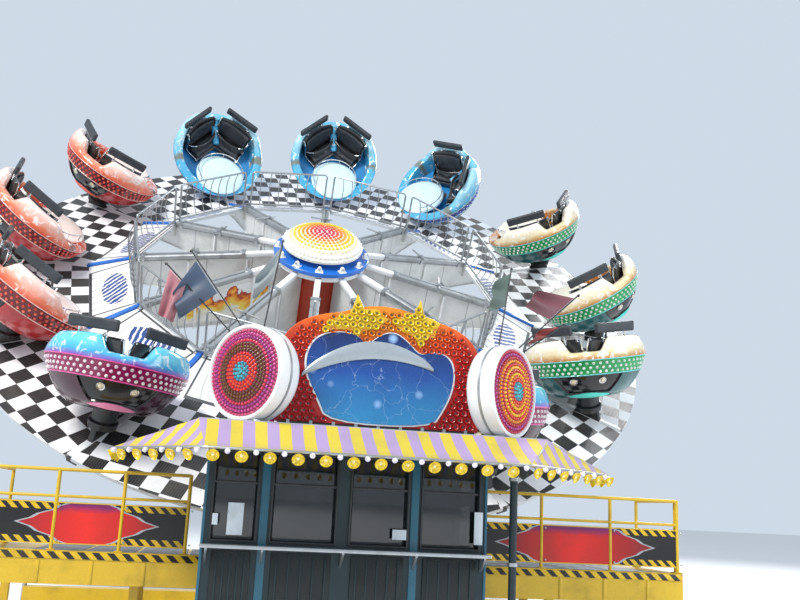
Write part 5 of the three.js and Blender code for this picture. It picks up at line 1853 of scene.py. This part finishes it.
def shield_paint():
    """Deep to light blue with pale bubbles and fine cracks, both from cell distances."""
    made, tree, shader = material("shield_blue")
    place = object_point(tree)
    level = parts(tree, place)[2] + noise(tree, 2.5, 4.0) * 0.3
    colour = shaded(tree, level, "#2f86b8", (2.75, 3.35, "#1f4c98"), (3.35, 3.85, "#15214f"))
    bubbles = (1.0 - cells(tree, 2.9).ramp(0.07, 0.2)) * 0.85
    colour = blend(tree, bubbles, colour, "#9fc4f4")
    drift = node(tree, "ShaderNodeTexNoise", {"Vector": place, "Scale": 5.0, "Detail": 3.0})
    bent = vector_math(tree, "MULTIPLY_ADD", drift.outputs["Color"], (0.35, 0.35, 0.35), place)
    crack = node(tree, "ShaderNodeTexVoronoi", {"Vector": bent.outputs[0], "Scale": 2.6},
                 feature="DISTANCE_TO_EDGE")
    cracks = (Value(tree, crack.outputs["Distance"]) < 0.007) * 0.28
    colour = blend(tree, cracks, colour, "#bcd6ee")
    weathered(tree, shader, colour, "#0f1c3a", 2.0, 0.25, 0.25)
    return made


SILVER = painted("ribbon_silver", "#aab4ba", 0.3, metallic=0.4, dirt="#5f696f", scale=3, amount=0.35)
BURST_YELLOW = painted("burst_yellow", "#efc42a", 0.35, coat=0.3, dirt="#8a6a18", scale=4)
# The sign's cups are reflectors, so the faint glow of their lamp material is painted light.
SIGN_PAINTS = [sign_paint(), lamp_material("sign_cups", 0.12, 0.2), WHITE, shield_paint(),
               BURST_YELLOW, SILVER, BLACK, STEEL]
print("Paints on the sign:", len(SIGN_PAINTS))

# %% Board, shield and ribbon
def ribbon():
    """A curved band: its middle line rises as sin(pi s)^0.8, its half width as sin(pi s)^0.7."""
    s, b = np.meshgrid(np.linspace(0, 1, 33), np.linspace(-1, 1, 9), indexing="ij")
    x = -0.93 + 1.55 * s
    z = 3.12 + 0.16 * s + 0.26 * np.sin(pi * s) ** 0.8
    half = 0.02 + 0.085 * np.sin(pi * s) ** 0.7
    front = vectors(x, z + b * half, 0.125 + 0.018 * (1 - b * b))
    rear = front * [1, 1, 0] + [0, 0, 0.112]
    sides = [(rear[:, 0], front[:, 0]), (front[:, -1], rear[:, -1]), (front[0], rear[0]),
             (rear[-1], front[-1])]
    return together(surface(front, finish=5), surface(rear[::-1], finish=5),
                    *[surface(np.stack(side), finish=5) for side in sides])


board = plate(SIGN_OUTLINE, -0.08, 0.08, 0.01, centre=(0, 3.2))
shield_rim = plate(middle + (smooth_shield - middle) * 1.025, 0.08, 0.104, 0.004, (0, 3.15), finish=2)
shield = plate(smooth_shield, 0.08, 0.112, 0.004, (0, 3.15), finish=3)
stars = [plate(outline, 0.08, 0.11, 0.004, finish=4) for outline in BURSTS]
strip = block(-1.16, 1.16, 2.535, 2.579, 0.02, 0.075, 0.004, 6)
legs = [block(x - 0.02, x + 0.02, 2.535, 2.60, 0.074, 0.086, 0.003, 7)
        for x in np.linspace(-1.05, 1.05, 9)]
sign = together(board, reflectors, shield_rim, shield, *stars, ribbon(), strip, *legs)
piece("sign", moved(sign, SIGN), "base", SIGN_PAINTS, ["sign_board"])

# %% Lamp discs
DISC_OUT, DISC_FACE, DISC_TURN = 1.6, -8.55, radians(44)
DISC_Z = 3.0806
# colour and radius of each ring of caps; the two discs share the radii
RING_RADII = [0.482, 0.442, 0.402, 0.362, 0.322, 0.285, 0.248, 0.208, 0.17, 0.134, 0.098, 0.06, 0.02]
RING_COLOURS = {
    -1: ["#d8557e", "#c2468a", "#a8408f", "#cf3a55", "#6a4522", "#6a4522", "#5f3d1e", "#d8302a",
         "#e4502c", "#d8302a", "#2f9fb0", "#38b0bc", "#48c0c8"],
    1: ["#c93a4e", "#a83a86", "#c2303c", "#e0902a", "#d8302a", "#e8b42c", "#d8302a", "#e8b42c",
        "#e0702a", "#d8302a", "#2f9fb0", "#38b0bc", "#48c0c8"],
}
DRUM = [(0, -0.38), (0.49, -0.38), (0.52, -0.36), (0.55, -0.30), (0.55, -0.03), (0.545, -0.008),
        (0.53, 0.0), (0.512, 0.0), (0.505, -0.012), (0.495, -0.03), (0.25, 0.022), (0, 0.045)]
FACE_ROW = 9  # the first row of the drum that is its coloured face


def disc_face(r):
    """Height of the shallow cone under the lamps."""
    return float(np.interp(r, [0, 0.25, 0.495], [0.045, 0.022, -0.03]))


def lamp_disc(side):
    """White drum, coloured face and rings of caps round the disc's own axis, and its foot."""
    shell = turned(DRUM, 64)
    face_rows = shell["finish"].reshape(len(DRUM) - 1, -1)
    face_rows[FACE_ROW:] = 2
    colours = RING_COLOURS[side]
    caps = lamp_rings(RING_RADII, 0.046, disc_face, lambda r: radians(8), dome(0.0195, 0.024),
                      lambda i: np.array(rgb(colours[i])) * (1.25 if i % 2 else 1.0))
    caps["finish"][:] = 1
    hoop = turned([(0.552, -0.2), (0.556, -0.2), (0.556, -0.17), (0.552, -0.17), (0.552, -0.2)], 64,
                  finish=3)
    foot = block(-0.16, 0.16, 0.06, 0.3, -0.549, -0.5, 0.004, 3)
    turned_out = turn("Z", side * DISC_TURN)
    centre = np.array([SIGN_X + side * DISC_OUT, DISC_FACE, DISC_Z])
    return together(moved(together(shell, caps, hoop), (turned_out @ turn("X", pi / 2), centre)),
                    moved(foot, (turned_out, centre)))


for side, name, colour in ((-1, "left", "#7a2b4a"), (1, "right", "#8a2230")):
    face_paint = painted(f"lamp_disc_face_{name}", colour, 0.4, dirt="#3a1420", scale=4)
    piece(f"lamp_disc_{name}_lit", lamp_disc(side), "base", [WHITE, LAMPS, face_paint, STEEL],
          [f"lamp_disc_{name}"])

# %% [markdown]
# ## Flags
# Six plain flags hang from thin slanted poles behind the lamp discs. Each is one thin sheet between
# four corners. A simulated flag would not keep the outline that shows, so folds that grow towards
# its free edge are written down: y = -0.05 t sin(2 pi (1.6 s + 0.4 t)).

# %% Flag cloth and folds
FLAGS = {  # pole foot, pole tip, and the sheet's four corners as (x, z)
    "slate": ((-1.56, 3.59), (-2.27, 4.51), (-2.20, 4.42), (-1.91, 4.05), (-2.34, 3.68), (-2.44, 3.98),
              "#3c4f68"),
    "rose": ((-1.70, 3.55), (-2.54, 4.33), (-2.50, 4.29), (-2.30, 4.11), (-2.40, 3.64), (-2.58, 3.72),
             "#b0737c"),
    "silver": ((-1.36, 3.64), (-1.21, 4.74), (-1.22, 4.68), (-1.29, 4.26), (-1.52, 3.96), (-1.50, 4.26),
               "#8f9a9c"),
    "sage": ((1.51, 3.53), (1.67, 4.67), (1.665, 4.62), (1.60, 4.18), (1.39, 4.10), (1.44, 4.48),
             "#5d7168"),
    "umber": ((1.65, 3.54), (2.56, 4.41), (2.52, 4.37), (2.20, 4.065), (1.86, 4.20), (2.00, 4.42),
              "#7a4650"),
    "brick": ((1.74, 3.54), (2.37, 4.02), (2.34, 3.99), (2.08, 3.80), (1.90, 3.72), (2.06, 3.92),
              "#8e3a34"),
}
FLAG_Y = -8.2


def flag_cloth(name, colour):
    """Light polyester: two tones across the flag, a pale hem at its pole, and a fine weave."""
    made, tree, shader = material(name)
    u, v = surface_uv(tree)
    base = rgb(colour)
    tone = blend(tree, v.ramp(0.46, 0.5), base, tuple(0.8 * c + 0.03 for c in base))
    tone = blend(tree, (u < 0.05) * 0.9, tone, tuple(0.55 * c + 0.3 for c in base))
    weathered(tree, shader, tone, "#3b3d40", 3.5, 0.35, 0.55, cells(tree, 340.0), 0.001, 0.3)
    return made


def flag_sheet(corners):
    """The folded sheet between four corners, its area and its two longest sides."""
    a, b, c, d = (np.array([x, FLAG_Y, z]) for x, z in corners)
    s, t = np.meshgrid(np.linspace(0, 1, 25), np.linspace(0, 1, 29), indexing="ij")
    s3, t3 = s[..., None], t[..., None]
    points = (1 - t3) * ((1 - s3) * a + s3 * b) + t3 * ((1 - s3) * d + s3 * c)
    points[..., 1] -= 0.05 * t * np.sin(2 * pi * (1.6 * s + 0.4 * t)) + 0.012 * t
    points[..., 2] -= 0.03 * np.sin(pi * s) * t * (1 - t)
    along, across = points[1:, :-1] - points[:-1, :-1], points[:-1, 1:] - points[:-1, :-1]
    area = float(np.linalg.norm(np.cross(along, across), axis=-1).sum())
    def length(line):
        return float(np.linalg.norm(np.diff(line, axis=0), axis=1).sum())
    width = max(length(points[:, 0]), length(points[:, -1]))
    fly = max(length(points[0]), length(points[-1]), area / width)
    return points, vectors(t, s), area, width, fly


print("Flags:", len(FLAGS))

# %% Poles and flags
poles = []
for name, (foot, tip, *corners, colour) in FLAGS.items():
    ends = np.array([[x, FLAG_Y, z] for x, z in (foot, tip)])
    poles.append(tube(np.linspace(*ends, 3), 0.009, 8, up=(0, 1, 0)))
    poles.append(moved(dome(0.02, 0.03, 10, 3), (facing(ends[1] - ends[0]), ends[1] - [0, 0, 0.005])))
    poles.append(tube([ends[0], [ends[0][0], FLAG_Y, 2.53]], 0.014, 8, up=(0, 1, 0)))
    points, uv, area, width, fly = flag_sheet(corners)
    cloth = covered(slab_under(points, np.array([0, 0.0015, 0]), uv, 0, 0), uv)
    flag = piece(f"flag_{name}", cloth, "base", [flag_cloth(f"flag_{name}", colour)], sharp=60)
    round(width + 0.01, 3)
    round(fly + 0.01, 3)
piece("flag_poles", together(*poles), "base", [BLACK])
